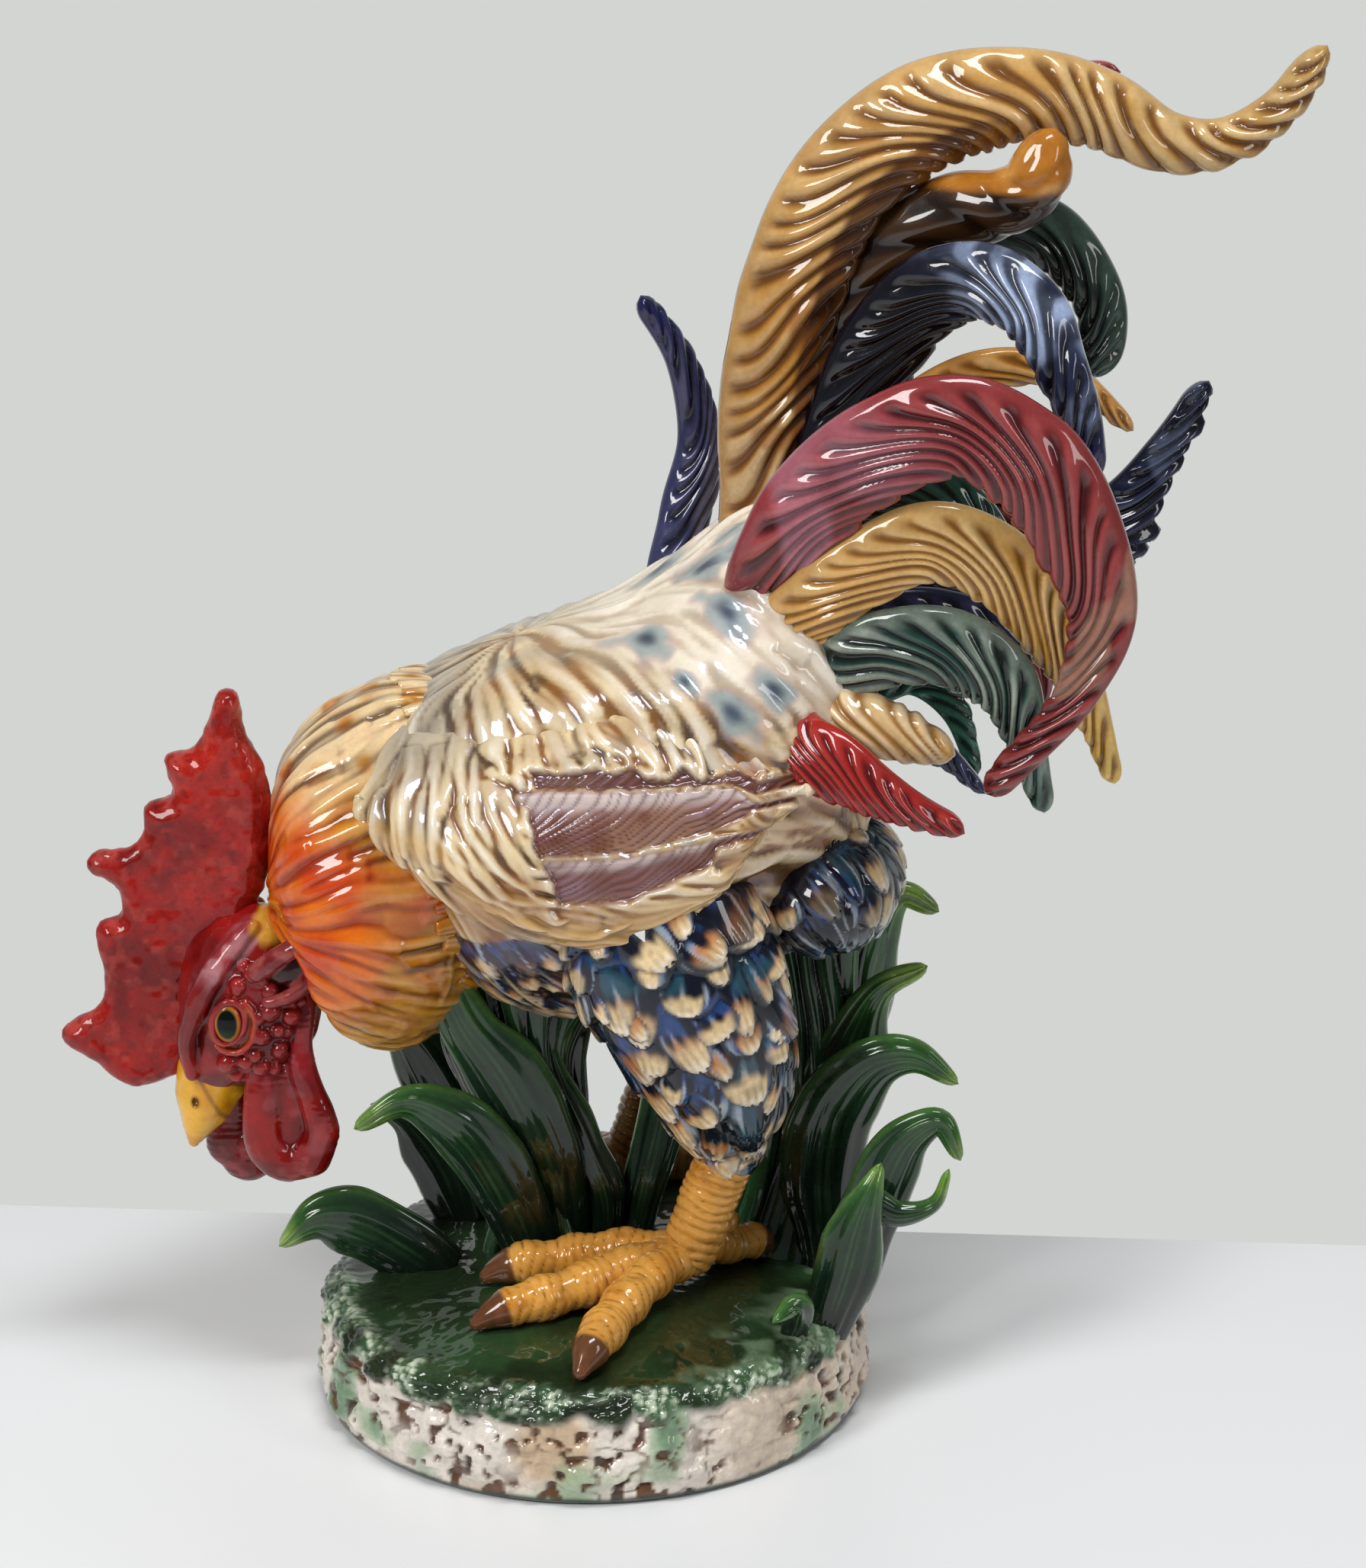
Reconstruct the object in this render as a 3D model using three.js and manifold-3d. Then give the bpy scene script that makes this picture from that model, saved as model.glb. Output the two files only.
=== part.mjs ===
import * as THREE from 'three';
import { mergeVertices } from 'three/addons/utils/BufferGeometryUtils.js';
import Module from 'manifold-3d';

// A glazed ceramic rooster that bows its head over a grassy mound, with a tall arching tail.
// Millimetres, +Z up. The bird faces -X and its left side is towards -Y.
// Slip-cast shells and hand-built feathers and leaves are luted together and fired as one.

const wasm = await Module();
wasm.setup();

// Driving sizes of the mound. The leaves are drawn on a mound of the drawn radius.
const BASE_RADIUS = 118;
const BASE_HEIGHT = 54;
const BASE_CROWN = 8;
const BASE_SHOULDER = 11;
const BASE_WALL = 9;
const BASE_Y = -11;
const BASE_FACETS = 48;
const CRAG_DEPTH = 3.4;
const DRAWN_RADIUS = 118;

// Driving sizes of the bird. Its tables are drawn at the drawn height, in millimetres.
const BIRD_HEIGHT = 419;
const DRAWN_HEIGHT = 419;
const STANCE = 102;
const BODY_Y = 25;
const TORSO_HALF_WIDTH = 82;
const BODY_WALL = 8;
const BODY_VENT_RADIUS = 17;
const BODY_VENT_HEIGHT = 100;
const NECK_HALF_WIDTH = 62;
const NECK_WALL = 8;
const THROAT_RADIUS = 14;
const HEAD_TURN = 31;
const HEAD_HALF_WIDTH = 27;
const BEAK_HALF_WIDTH = 13;
const COMB_THICKNESS = 12;
const COMB_BEVEL = 3;
const COMB_EDGE_STEPS = 56;
const COMB_OFFSET = 25;
const WATTLE_HALF_THICKNESS = 8;
const WATTLE_SPREAD = 15;
const EYE_RADIUS = 8;
const EYE_PROUD = 4;
const EYE_PLACE = [-153, 17];
const EARLOBE_LENGTH = 26;
const EARLOBE_WIDTH = 16;
const EARLOBE_THICKNESS = 12;
const EARLOBE_PLACE = [-120, 40];
const RUMP_HALF_LENGTH = 37;
const RUMP_HALF_WIDTH = 56;
const RUMP_HALF_HEIGHT = 32;
const RUMP_PLACE = [96, -16, 72];
const WING_HALF_THICKNESS = 20;
const WING_TUCK = 6;
const WING_LEAN = 12;
const PRIMARY_DEPTH = 2.6;
const HIP_SPREAD = 62;
const HIP_HEIGHT = 84;
const THIGH_HALF_WIDTH = 40;
const FOOT_SPREAD = 54;
const FAR_LEG_FORWARD = 26;
const SHANK_RADIUS = 12;
const TOE_RADIUS = 9;
const CLAW_RADIUS = 3;
const SPUR_RADIUS = 7;

// Driving sizes of the feathers and leaves
const FEATHER_THICKNESS = 9;
const FEATHER_CAMBER = 0.16;
const LEAF_THICKNESS = 8;
const LEAF_CAMBER = 0.22;
const LEAF_ROOT = 0.7;
const LEAF_TIP = 0.2;
const STEP_LENGTH = 20;
const CLUMP_FLUTES = 5;
const CLUMP_FLUTE_DEPTH = 0.12;
const CLUMP_FACETS = 14;

// The least gap between two solids that meet
const CLEARANCE = 0.35;

const BODY_Z = BASE_HEIGHT + STANCE;

// Places: on the bird, measured from its middle plane and the underside of its belly
const BIRD_SCALE = BIRD_HEIGHT / DRAWN_HEIGHT;
const bird = (x, y, z) => new THREE.Vector3(x * BIRD_SCALE, BODY_Y + y, BODY_Z + z * BIRD_SCALE);

// Places: on the mound, measured above its crown
const SPREAD = BASE_RADIUS / DRAWN_RADIUS;
const ground = (x, y, z) => new THREE.Vector3(x * SPREAD, BASE_Y + (y - BASE_Y) * SPREAD, BASE_HEIGHT + z);

// How high the mound's top is under a place
function moundTop(x, y) {
  const share = Math.hypot(x, y - BASE_Y) / BASE_RADIUS;
  return BASE_HEIGHT - BASE_CROWN * share * share;
}

// Glazes, each with its colour, roughness and metalness
const glaze = (color, roughness = 0.16, metalness = 0.05) => ({ color, roughness, metalness });
const CREAM = glaze(0xd9c7a0);
const ORANGE = glaze(0xd9741f);
const RED = glaze(0x9c2620);
const FACE_RED = glaze(0x7c1f22);
const YELLOW = glaze(0xd9a92f);
const OCHRE = glaze(0xb9803a);
const MAROON = glaze(0x702a35, 0.14);
const NAVY = glaze(0x1b2245, 0.12);
const BLUE_SCALE = glaze(0x2c3c5e);
const TEAL = glaze(0x17332f, 0.12);
const LEAF = glaze(0x1f4424, 0.12);
const LEG = glaze(0xb8742c);
const AMBER = glaze(0x8a4a1c, 0.08);

// Joins rings of points into one closed skin, with a fan over each end
function loft(rings) {
  const around = rings[0].length;
  const points = rings.flat().map((p) => p.clone());
  const index = [];
  for (let i = 0; i + 1 < rings.length; i += 1) {
    for (let j = 0; j < around; j += 1) {
      const a = i * around + j;
      const b = i * around + ((j + 1) % around);
      index.push(a, b, b + around, a, b + around, a + around);
    }
  }
  const closeEnd = (start, flip) => {
    const middle = new THREE.Vector3();
    for (let j = 0; j < around; j += 1) middle.addScaledVector(points[start + j], 1 / around);
    const hub = points.push(middle) - 1;
    for (let j = 0; j < around; j += 1) {
      const a = start + j;
      const b = start + ((j + 1) % around);
      index.push(...(flip ? [hub, b, a] : [hub, a, b]));
    }
  };
  closeEnd(0, true);
  closeEnd((rings.length - 1) * around, false);
  return skin(points, index);
}

// A geometry from points and triangles, turned so that its faces point out
function skin(points, index) {
  let volume = 0;
  for (let i = 0; i < index.length; i += 3) {
    const [a, b, c] = [points[index[i]], points[index[i + 1]], points[index[i + 2]]];
    volume += a.dot(b.clone().cross(c));
  }
  if (volume < 0) index.reverse();
  const geometry = new THREE.BufferGeometry();
  const numbers = points.flatMap((p) => p.toArray());
  geometry.setAttribute('position', new THREE.Float32BufferAttribute(numbers, 3));
  geometry.setIndex(index);
  return geometry;
}

// A round section between two silhouette points, with its half width across the bird.
// The first point may lean across the bird, and the second leans the other way.
function section([ax, az], [bx, bz], halfWidth, y, lean, place, around) {
  const ring = [];
  for (let j = 0; j < around; j += 1) {
    const turn = (2 * Math.PI * j) / around;
    const up = Math.cos(turn) / 2;
    const x = (ax + bx) / 2 + (ax - bx) * up;
    const z = (az + bz) / 2 + (az - bz) * up;
    ring.push(place(x, y + halfWidth * Math.sin(turn) + 2 * lean * up, z));
  }
  return ring;
}

// A body whose silhouette is given in pairs of points: [side a, side b, half width, y]
function shape(pairs, { place = bird, around = 16, middle = 0, inset = 0, lean = 0 } = {}) {
  return loft(pairs.map(([a, b, halfWidth, y = middle]) => {
    const span = Math.hypot(a[0] - b[0], a[1] - b[1]);
    const pull = inset / span;
    const innerA = [a[0] + (b[0] - a[0]) * pull, a[1] + (b[1] - a[1]) * pull];
    const innerB = [b[0] + (a[0] - b[0]) * pull, b[1] + (a[1] - b[1]) * pull];
    return section(innerA, innerB, halfWidth - inset, y, lean, place, around);
  }));
}

// How wide a blade is along its length, as a share of its full width
const featherWidth = (t, root, tip) => {
  const rise = root + (1 - root) * Math.sin((Math.min(t / 0.45, 1) * Math.PI) / 2);
  const fall = 1 - (1 - tip) * THREE.MathUtils.smoothstep(t, 0.55, 1);
  return rise * fall;
};

// A feather or leaf that follows a path, curved across its width, with thick rounded edges
function blade(path, width, options = {}) {
  const {
    thickness = FEATHER_THICKNESS, camber = FEATHER_CAMBER, facing = [0, -1, 0],
    root = 0.75, tip = 0.3, around = 8,
  } = options;
  const curve = new THREE.CatmullRomCurve3(path, false, 'centripetal');
  const steps = Math.max(6, Math.round(curve.getLength() / STEP_LENGTH));
  const front = new THREE.Vector3(...facing);
  const rings = [];
  for (let i = 0; i <= steps + 1; i += 1) {
    const t = Math.min(i / steps, 1);
    const closing = i > steps ? 0.45 : 1;
    const along = curve.getTangentAt(t);
    const centre = curve.getPointAt(t).addScaledVector(along, i > steps ? thickness * 0.35 : 0);
    const across = new THREE.Vector3().crossVectors(along, front).normalize();
    const out = new THREE.Vector3().crossVectors(across, along);
    const half = (width / 2) * featherWidth(t, root, tip) * closing;
    const ring = [];
    for (let j = 0; j < around; j += 1) {
      const turn = (2 * Math.PI * j) / around;
      const side = Math.sign(Math.cos(turn)) * Math.abs(Math.cos(turn)) ** 0.8;
      const rise = Math.sin(turn) * (thickness / 2) * closing - camber * half * side * side;
      ring.push(centre.clone().addScaledVector(across, side * half).addScaledVector(out, rise));
    }
    rings.push(ring);
  }
  return loft(rings);
}

// A round tube of changing radius along a path, for toes and shanks
function tube(path, radii, around = 8, steps = 7) {
  const curve = new THREE.CatmullRomCurve3(path, false, 'centripetal');
  const rings = [];
  for (let i = 0; i <= steps; i += 1) {
    const t = i / steps;
    const along = curve.getTangentAt(t);
    const centre = curve.getPointAt(t);
    const across = new THREE.Vector3().crossVectors(along, new THREE.Vector3(0.2, 1, 0.1)).normalize();
    const out = new THREE.Vector3().crossVectors(across, along);
    const at = t * (radii.length - 1);
    const low = Math.min(Math.floor(at), radii.length - 2);
    const radius = THREE.MathUtils.lerp(radii[low], radii[low + 1], at - low);
    const ring = [];
    for (let j = 0; j < around; j += 1) {
      const turn = (2 * Math.PI * j) / around;
      ring.push(centre.clone()
        .addScaledVector(across, Math.cos(turn) * radius)
        .addScaledVector(out, Math.sin(turn) * radius));
    }
    rings.push(ring);
  }
  return loft(rings);
}

// A lump with three half sizes, tilted in the bird's middle plane
function lump(centre, halfSizes, tilt = 0, widthSegments = 14, heightSegments = 9) {
  const geometry = new THREE.SphereGeometry(1, widthSegments, heightSegments);
  geometry.scale(...halfSizes);
  geometry.rotateY(tilt);
  geometry.translate(centre.x, centre.y, centre.z);
  return geometry;
}

// Solids for cutting and joining
function toSolid(geometry) {
  const plain = geometry.clone();
  plain.deleteAttribute('normal');
  plain.deleteAttribute('uv');
  const merged = mergeVertices(plain, 1e-4);
  return new wasm.Manifold(new wasm.Mesh({
    numProp: 3,
    vertProperties: new Float32Array(merged.attributes.position.array),
    triVerts: new Uint32Array(merged.index.array),
  }));
}

function toGeometry(solid) {
  const mesh = solid.getMesh();
  const geometry = new THREE.BufferGeometry();
  geometry.setAttribute('position', new THREE.Float32BufferAttribute(mesh.vertProperties, 3));
  geometry.setIndex(Array.from(mesh.triVerts));
  return geometry;
}

// The same skin moved out along its normals, which leaves the clearance round a cut
function grown(geometry, by) {
  const plain = geometry.clone();
  plain.deleteAttribute('normal');
  plain.deleteAttribute('uv');
  const merged = mergeVertices(plain, 1e-4);
  merged.computeVertexNormals();
  const { position, normal } = merged.attributes;
  for (let i = 0; i < position.count; i += 1) {
    position.setXYZ(
      i,
      position.getX(i) + normal.getX(i) * by,
      position.getY(i) + normal.getY(i) * by,
      position.getZ(i) + normal.getZ(i) * by,
    );
  }
  return merged;
}

const volumeOf = (geometry) => {
  const p = geometry.attributes.position;
  const order = geometry.index.array;
  const [a, b, c] = [new THREE.Vector3(), new THREE.Vector3(), new THREE.Vector3()];
  let sum = 0;
  for (let i = 0; i < order.length; i += 3) {
    a.fromBufferAttribute(p, order[i]);
    b.fromBufferAttribute(p, order[i + 1]);
    c.fromBufferAttribute(p, order[i + 2]);
    sum += a.dot(b.cross(c)) / 6;
  }
  return sum;
};

// Every piece is cut back from the ones that were fitted before it
const fitted = [];
const object = new THREE.Group();
const stand = new THREE.Group();
const rooster = new THREE.Group();
object.add(stand, rooster);

function largestBody(solid) {
  const bodies = solid.decompose().map(toGeometry);
  return bodies.reduce((best, body) => (volumeOf(body) > volumeOf(best) ? body : best));
}

function fit(group, name, geometry, material, { envelope = geometry, hollow = [] } = {}) {
  const cutter = grown(envelope, CLEARANCE);
  cutter.computeBoundingBox();
  let solid = toSolid(geometry);
  geometry.computeBoundingBox();
  for (const earlier of fitted) {
    if (geometry.boundingBox.intersectsBox(earlier.box)) solid = solid.subtract(earlier.solid);
  }
  for (const space of hollow) solid = solid.subtract(toSolid(space));
  const body = largestBody(solid);
  body.computeVertexNormals();
  const mesh = new THREE.Mesh(body, new THREE.MeshStandardMaterial(material));
  mesh.name = name;
  group.add(mesh);
  fitted.push({ box: cutter.boundingBox, solid: toSolid(cutter) });
}

// How far the rocky band falls back at each facet, in turn, as shares of the crag depth
const CRAGS = [0, 0.7, 0.2, 1, 0.35, 0.9, 0.1, 0.6, 0.85, 0.25, 0.5];
const CRAG_ROWS = [3, 4, 5];

function roughen(geometry, rows) {
  const { position } = geometry.attributes;
  for (let k = 0; k < position.count; k += 1) {
    const facet = Math.floor(k / rows) % BASE_FACETS;
    const row = CRAG_ROWS.indexOf(k % rows);
    if (row < 0) continue;
    const radius = Math.hypot(position.getX(k), position.getZ(k));
    const share = 1 - (CRAG_DEPTH * CRAGS[(facet + 4 * row) % CRAGS.length]) / radius;
    position.setX(k, position.getX(k) * share);
    position.setZ(k, position.getZ(k) * share);
  }
  return geometry;
}

// The mound: a hollow casting, open underneath, that stands on its foot ring
function mound() {
  const round = (points) => {
    const outline = points.map(([r, z]) => new THREE.Vector2(r, z));
    return new THREE.LatheGeometry(outline, BASE_FACETS);
  };
  const rim = BASE_HEIGHT - BASE_CROWN;
  const belly = BASE_RADIUS + 2;
  const outer = [
    [0, 0], [BASE_RADIUS - 3, 0], [BASE_RADIUS, 3], [belly, rim * 0.4], [BASE_RADIUS, rim * 0.75],
    [BASE_RADIUS - BASE_SHOULDER * 0.4, rim * 0.95], [BASE_RADIUS - BASE_SHOULDER, rim + 1.5],
    [BASE_RADIUS * 0.75, BASE_HEIGHT - BASE_CROWN * 0.56],
    [BASE_RADIUS * 0.45, BASE_HEIGHT - BASE_CROWN * 0.2],
    [0, BASE_HEIGHT],
  ];
  const inside = BASE_RADIUS - BASE_WALL - 2;
  const inner = [
    [0, -1], [inside, -1], [inside, rim * 0.55], [inside - BASE_SHOULDER, rim - BASE_WALL],
    [BASE_RADIUS * 0.5, BASE_HEIGHT - BASE_CROWN * 0.3 - BASE_WALL], [0, BASE_HEIGHT - BASE_WALL],
  ];
  const upright = (geometry) => geometry.rotateX(Math.PI / 2).translate(0, BASE_Y, 0);
  const body = upright(roughen(round(outer), outer.length));
  fit(stand, 'base_mound', body, LEAF, { hollow: [upright(round(inner))] });
}

// The torso casting: hollow, vented at the front where the neck is luted on
const TORSO = [
  [[-90, 120], [-88, 80], 0.34], [[-78, 147], [-80, 56], 0.63], [[-54, 164], [-62, 34], 0.83],
  [[-22, 177], [-34, 10], 0.95], [[14, 189], [8, 4], 1], [[42, 208], [50, 16], 0.98],
  [[66, 225], [86, 34], 0.88], [[84, 229], [112, 66], 0.7], [[96, 218], [122, 116], 0.49],
  [[103, 202], [114, 162], 0.22],
].map(([a, b, share]) => [a, b, TORSO_HALF_WIDTH * share]);

function torso() {
  const outer = shape(TORSO, { around: 22 });
  const inner = shape(TORSO.slice(1, -1), { around: 16, inset: BODY_WALL });
  const ventPath = [-110, -66, -22].map((x) => bird(x, 0, BODY_VENT_HEIGHT));
  const vent = tube(ventPath, [BODY_VENT_RADIUS, BODY_VENT_RADIUS], 12, 2);
  fit(rooster, 'body_casting', outer, CREAM, { hollow: [inner, vent] });
}

// The neck hackle: a hollow casting, open where it meets the vent of the torso
const NECK = [
  [[-66, 150], [-44, 30], 0.9, 0], [[-84, 153], [-54, 10], 1, -3], [[-108, 143], [-74, -8], 1, -8],
  [[-128, 125], [-94, -6], 0.87, -15], [[-136, 92], [-106, 8], 0.69, -21], [[-138, 60], [-108, 24], 0.52, -25],
  [[-134, 42], [-112, 32], 0.29, -27],
].map(([a, b, share, y]) => [a, b, NECK_HALF_WIDTH * share, y]);

function neck() {
  const outer = shape(NECK, { around: 18 });
  const reach = THROAT_RADIUS + NECK_WALL;
  const mouth = [[-60, BODY_VENT_HEIGHT + reach], [-56, BODY_VENT_HEIGHT - reach], reach, 0];
  const bend = [[-88, 128], [-84, 70], NECK_HALF_WIDTH * 0.55, -1];
  const cavity = [mouth, bend, ...NECK.slice(2, 5)];
  const inner = shape(cavity, { around: 12, inset: NECK_WALL });
  fit(rooster, 'neck_hackle', outer, ORANGE, { hollow: [inner] });
}

const HEAD = [
  [[-158, 60], [-122, 56], 0.52], [[-170, 48], [-114, 44], 0.85], [[-175, 28], [-114, 24], 1],
  [[-176, 8], [-120, 2], 0.93], [[-176, -8], [-134, -14], 0.7], [[-172, -18], [-148, -22], 0.41],
].map(([a, b, share]) => [a, b, HEAD_HALF_WIDTH * share]);

const BEAK = [
  [[-178, -6], [-148, -10], 1], [[-181, -22], [-152, -21], 0.85], [[-177, -36], [-158, -35], 0.54],
  [[-172, -50], [-167, -50], 0.19],
].map(([a, b, share]) => [a, b, BEAK_HALF_WIDTH * share]);

// The comb's edge, from the front of the beak over its points to the back of the crown
const COMB = [
  [-180, -19], [-197, -23], [-214, -9], [-227, -2], [-226, 5], [-208, 17], [-208, 38], [-210, 50],
  [-206, 56], [-199, 54], [-199, 68], [-212, 77], [-211, 84], [-192, 87], [-186, 96], [-188, 105],
  [-174, 109], [-178, 128], [-165, 129], [-158, 144], [-154, 156], [-146, 155], [-144, 138],
  [-134, 116], [-133, 98], [-138, 68], [-146, 44], [-152, 16], [-168, -6],
];

function comb() {
  const curve = new THREE.CatmullRomCurve3(COMB.map(([x, z]) => new THREE.Vector3(x, z, 0)), true);
  const edge = curve.getPoints(COMB_EDGE_STEPS).slice(0, -1).map((p) => new THREE.Vector2(p.x, p.y));
  const geometry = new THREE.ExtrudeGeometry(new THREE.Shape(edge), {
    depth: COMB_THICKNESS - 2 * COMB_BEVEL, steps: 1, bevelEnabled: true, bevelSegments: 1,
    bevelThickness: COMB_BEVEL, bevelSize: COMB_BEVEL, bevelOffset: -COMB_BEVEL,
  });
  geometry.rotateX(Math.PI / 2);
  geometry.translate(0, BODY_Y - COMB_OFFSET + COMB_THICKNESS / 2 - COMB_BEVEL, BODY_Z);
  fit(rooster, 'comb', geometry, RED);
}

const WATTLE = [
  [[-143, 6], [-122, 6], 0.75], [[-145, -16], [-114, -12], 1], [[-144, -34], [-107, -32], 1.1],
  [[-138, -50], [-111, -48], 1], [[-131, -58], [-120, -57], 0.5],
];
const WATTLE_FAR_SHIFT = [-27, -22];

function head() {
  const middle = -HEAD_TURN;
  fit(rooster, 'beak', shape(BEAK, { around: 10, middle }), YELLOW);
  for (const [name, side] of [['eye_left', -1], ['eye_right', 1]]) {
    const y = middle + side * (HEAD_HALF_WIDTH + EYE_PROUD - EYE_RADIUS);
    const centre = bird(EYE_PLACE[0], y, EYE_PLACE[1]);
    fit(rooster, name, lump(centre, [EYE_RADIUS, EYE_RADIUS, EYE_RADIUS], 0, 12, 8), AMBER);
  }
  fit(rooster, 'head', shape(HEAD, { around: 16, middle }), FACE_RED);
  comb();
  for (const [name, side] of [['wattle_left', -1], ['wattle_right', 1]]) {
    const [dx, dz] = side > 0 ? WATTLE_FAR_SHIFT : [0, 0];
    const pairs = WATTLE.map(([a, b, share], i) => {
      const follow = side > 0 ? i / (WATTLE.length - 1) : 0;
      const move = ([x, z]) => [x + dx * Math.min(1, 0.5 + follow), z + dz * Math.min(1, 0.4 + follow)];
      return [move(a), move(b), WATTLE_HALF_THICKNESS * share];
    });
    fit(rooster, name, shape(pairs, { around: 10, middle: middle + side * WATTLE_SPREAD }), RED);
  }
  for (const [name, side] of [['earlobe_left', -1], ['earlobe_right', 1]]) {
    const y = middle + side * (HEAD_HALF_WIDTH - EARLOBE_THICKNESS / 3);
    const halfSizes = [EARLOBE_LENGTH / 2, EARLOBE_THICKNESS / 2, EARLOBE_WIDTH / 2];
    const centre = bird(EARLOBE_PLACE[0], y, EARLOBE_PLACE[1]);
    fit(rooster, name, lump(centre, halfSizes, -0.9, 12, 8), FACE_RED);
  }
}

// Each folded wing is a pad on the flank, seated on the torso
const WING = [
  [[-94, 128], [-92, 108], 0.5, 30], [[-82, 142], [-80, 96], 0.85, 22], [[-54, 147], [-54, 80], 0.95, 9],
  [[-15, 155], [-16, 69], 1, 2], [[20, 163], [18, 69], 1, 0], [[52, 160], [50, 85], 0.95, 3],
  [[74, 150], [70, 108], 0.8, 9], [[92, 140], [88, 126], 0.4, 17],
];

// The smooth primaries, sunk below the carved coverts, as outlines in the side view
const PRIMARIES = [
  [[-29, 133], [-18, 107], [17, 109], [58, 118], [70, 125], [58, 133]],
  [[-15, 105], [-10, 86], [17, 88], [49, 102], [60, 112], [17, 106]],
];

function sinkPrimaries(geometry, side) {
  const whole = toSolid(geometry);
  const floor = whole.translate([0, -side * PRIMARY_DEPTH, 0]);
  const reach = TORSO_HALF_WIDTH;
  return toGeometry(PRIMARIES.reduce((wing, outline) => {
    const corners = outline.map(([x, z]) => bird(x, 0, z)).map(({ x, z }) => new THREE.Vector2(x, z));
    const slab = new THREE.ExtrudeGeometry(new THREE.Shape(corners), { depth: reach, bevelEnabled: false });
    slab.rotateX(Math.PI / 2).translate(0, BODY_Y + reach / 2 + side * (reach / 2 + WING_HALF_THICKNESS * 2), 0);
    return wing.subtract(toSolid(slab).subtract(floor));
  }, whole));
}

function wings() {
  for (const [name, side] of [['wing_left', -1], ['wing_right', 1]]) {
    const pairs = WING.map(([a, b, share, tuck]) => [
      a, b, WING_HALF_THICKNESS * share, side * (TORSO_HALF_WIDTH - WING_TUCK - tuck),
    ]);
    const pad = shape(pairs, { around: 12, lean: -side * WING_LEAN });
    fit(rooster, name, sinkPrimaries(pad, side), CREAM, { envelope: pad });
  }
}

// Thighs, shanks and feet. The far leg stands a little ahead of the near one.
// The toes are given as steps over the mound, out from the ankle.
const THIGH = [
  [[-8, 84], [70, 84], 0.9, -5], [[-12, 60], [78, 62], 1, -1], [[-4, 30], [84, 30], 0.95, 1],
  [[14, 2], [86, 6], 0.8, 0], [[34, -28], [82, -20], 0.55, -3], [[46, -40], [74, -34], 0.35, -5],
].map(([a, b, share, y]) => [a, b, THIGH_HALF_WIDTH * share, y]);
const KNEE = [66, -32];
const ANKLE = [40, 12];
const TOES = {
  left: [[-43, -84], [-88, -44], [-86, -4], [38, 30]],
  right: [[-64, -38], [-76, -4], [-56, 26], [34, 8]],
};
const SPUR = [62, 18, 22];

function leg(side, name, forward) {
  const swing = (z) => -forward * THREE.MathUtils.clamp((HIP_HEIGHT - z) / (HIP_HEIGHT - KNEE[1]), 0, 1.3);
  const lean = ([x, z]) => [x + swing(z), z];
  const hip = THIGH.map(([a, b, w, dy]) => [lean(a), lean(b), w, side * (HIP_SPREAD + dy)]);
  fit(rooster, `thigh_${name}`, shape(hip, { around: 16 }), BLUE_SCALE);

  const footY = BODY_Y + side * FOOT_SPREAD;
  const [ankleX, ankleUp] = [ANKLE[0] - forward, ANKLE[1]];
  const floor = (x, y, up) => new THREE.Vector3(x, y, moundTop(x, y) + up);
  const knee = bird(KNEE[0] + swing(KNEE[1]), side * (HIP_SPREAD - 4), KNEE[1] + 12);
  const ankle = floor(ankleX, footY, ankleUp);
  const shank = [knee, knee.clone().lerp(ankle, 0.5), ankle];
  let foot = toSolid(tube(shank, [SHANK_RADIUS, SHANK_RADIUS], 8, 3));
  for (const [dx, dy] of TOES[name]) {
    const tip = [ankleX + dx, footY + dy];
    const middle = [ankleX + dx / 2, footY + dy / 2];
    const path = [ankle, floor(...middle, TOE_RADIUS * 0.9), floor(...tip, CLAW_RADIUS)];
    foot = foot.add(toSolid(tube(path, [TOE_RADIUS, TOE_RADIUS, TOE_RADIUS, CLAW_RADIUS], 7, 4)));
  }
  const spurTip = floor(ankleX + SPUR[0] - ANKLE[0], footY - side * SPUR[1], SPUR[2]);
  const spurRoot = ankle.clone().lerp(knee, 0.22);
  foot = foot.add(toSolid(tube([spurRoot, spurTip], [SPUR_RADIUS, SPUR_RADIUS, CLAW_RADIUS], 7, 3)));
  fit(rooster, `foot_${name}`, toGeometry(foot), LEG);
}

// The fluff under the tail
function rump() {
  const halfSizes = [RUMP_HALF_LENGTH, RUMP_HALF_WIDTH, RUMP_HALF_HEIGHT];
  fit(rooster, 'rump_fluff', lump(bird(...RUMP_PLACE), halfSizes, 0, 16, 10), BLUE_SCALE);
}

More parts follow.
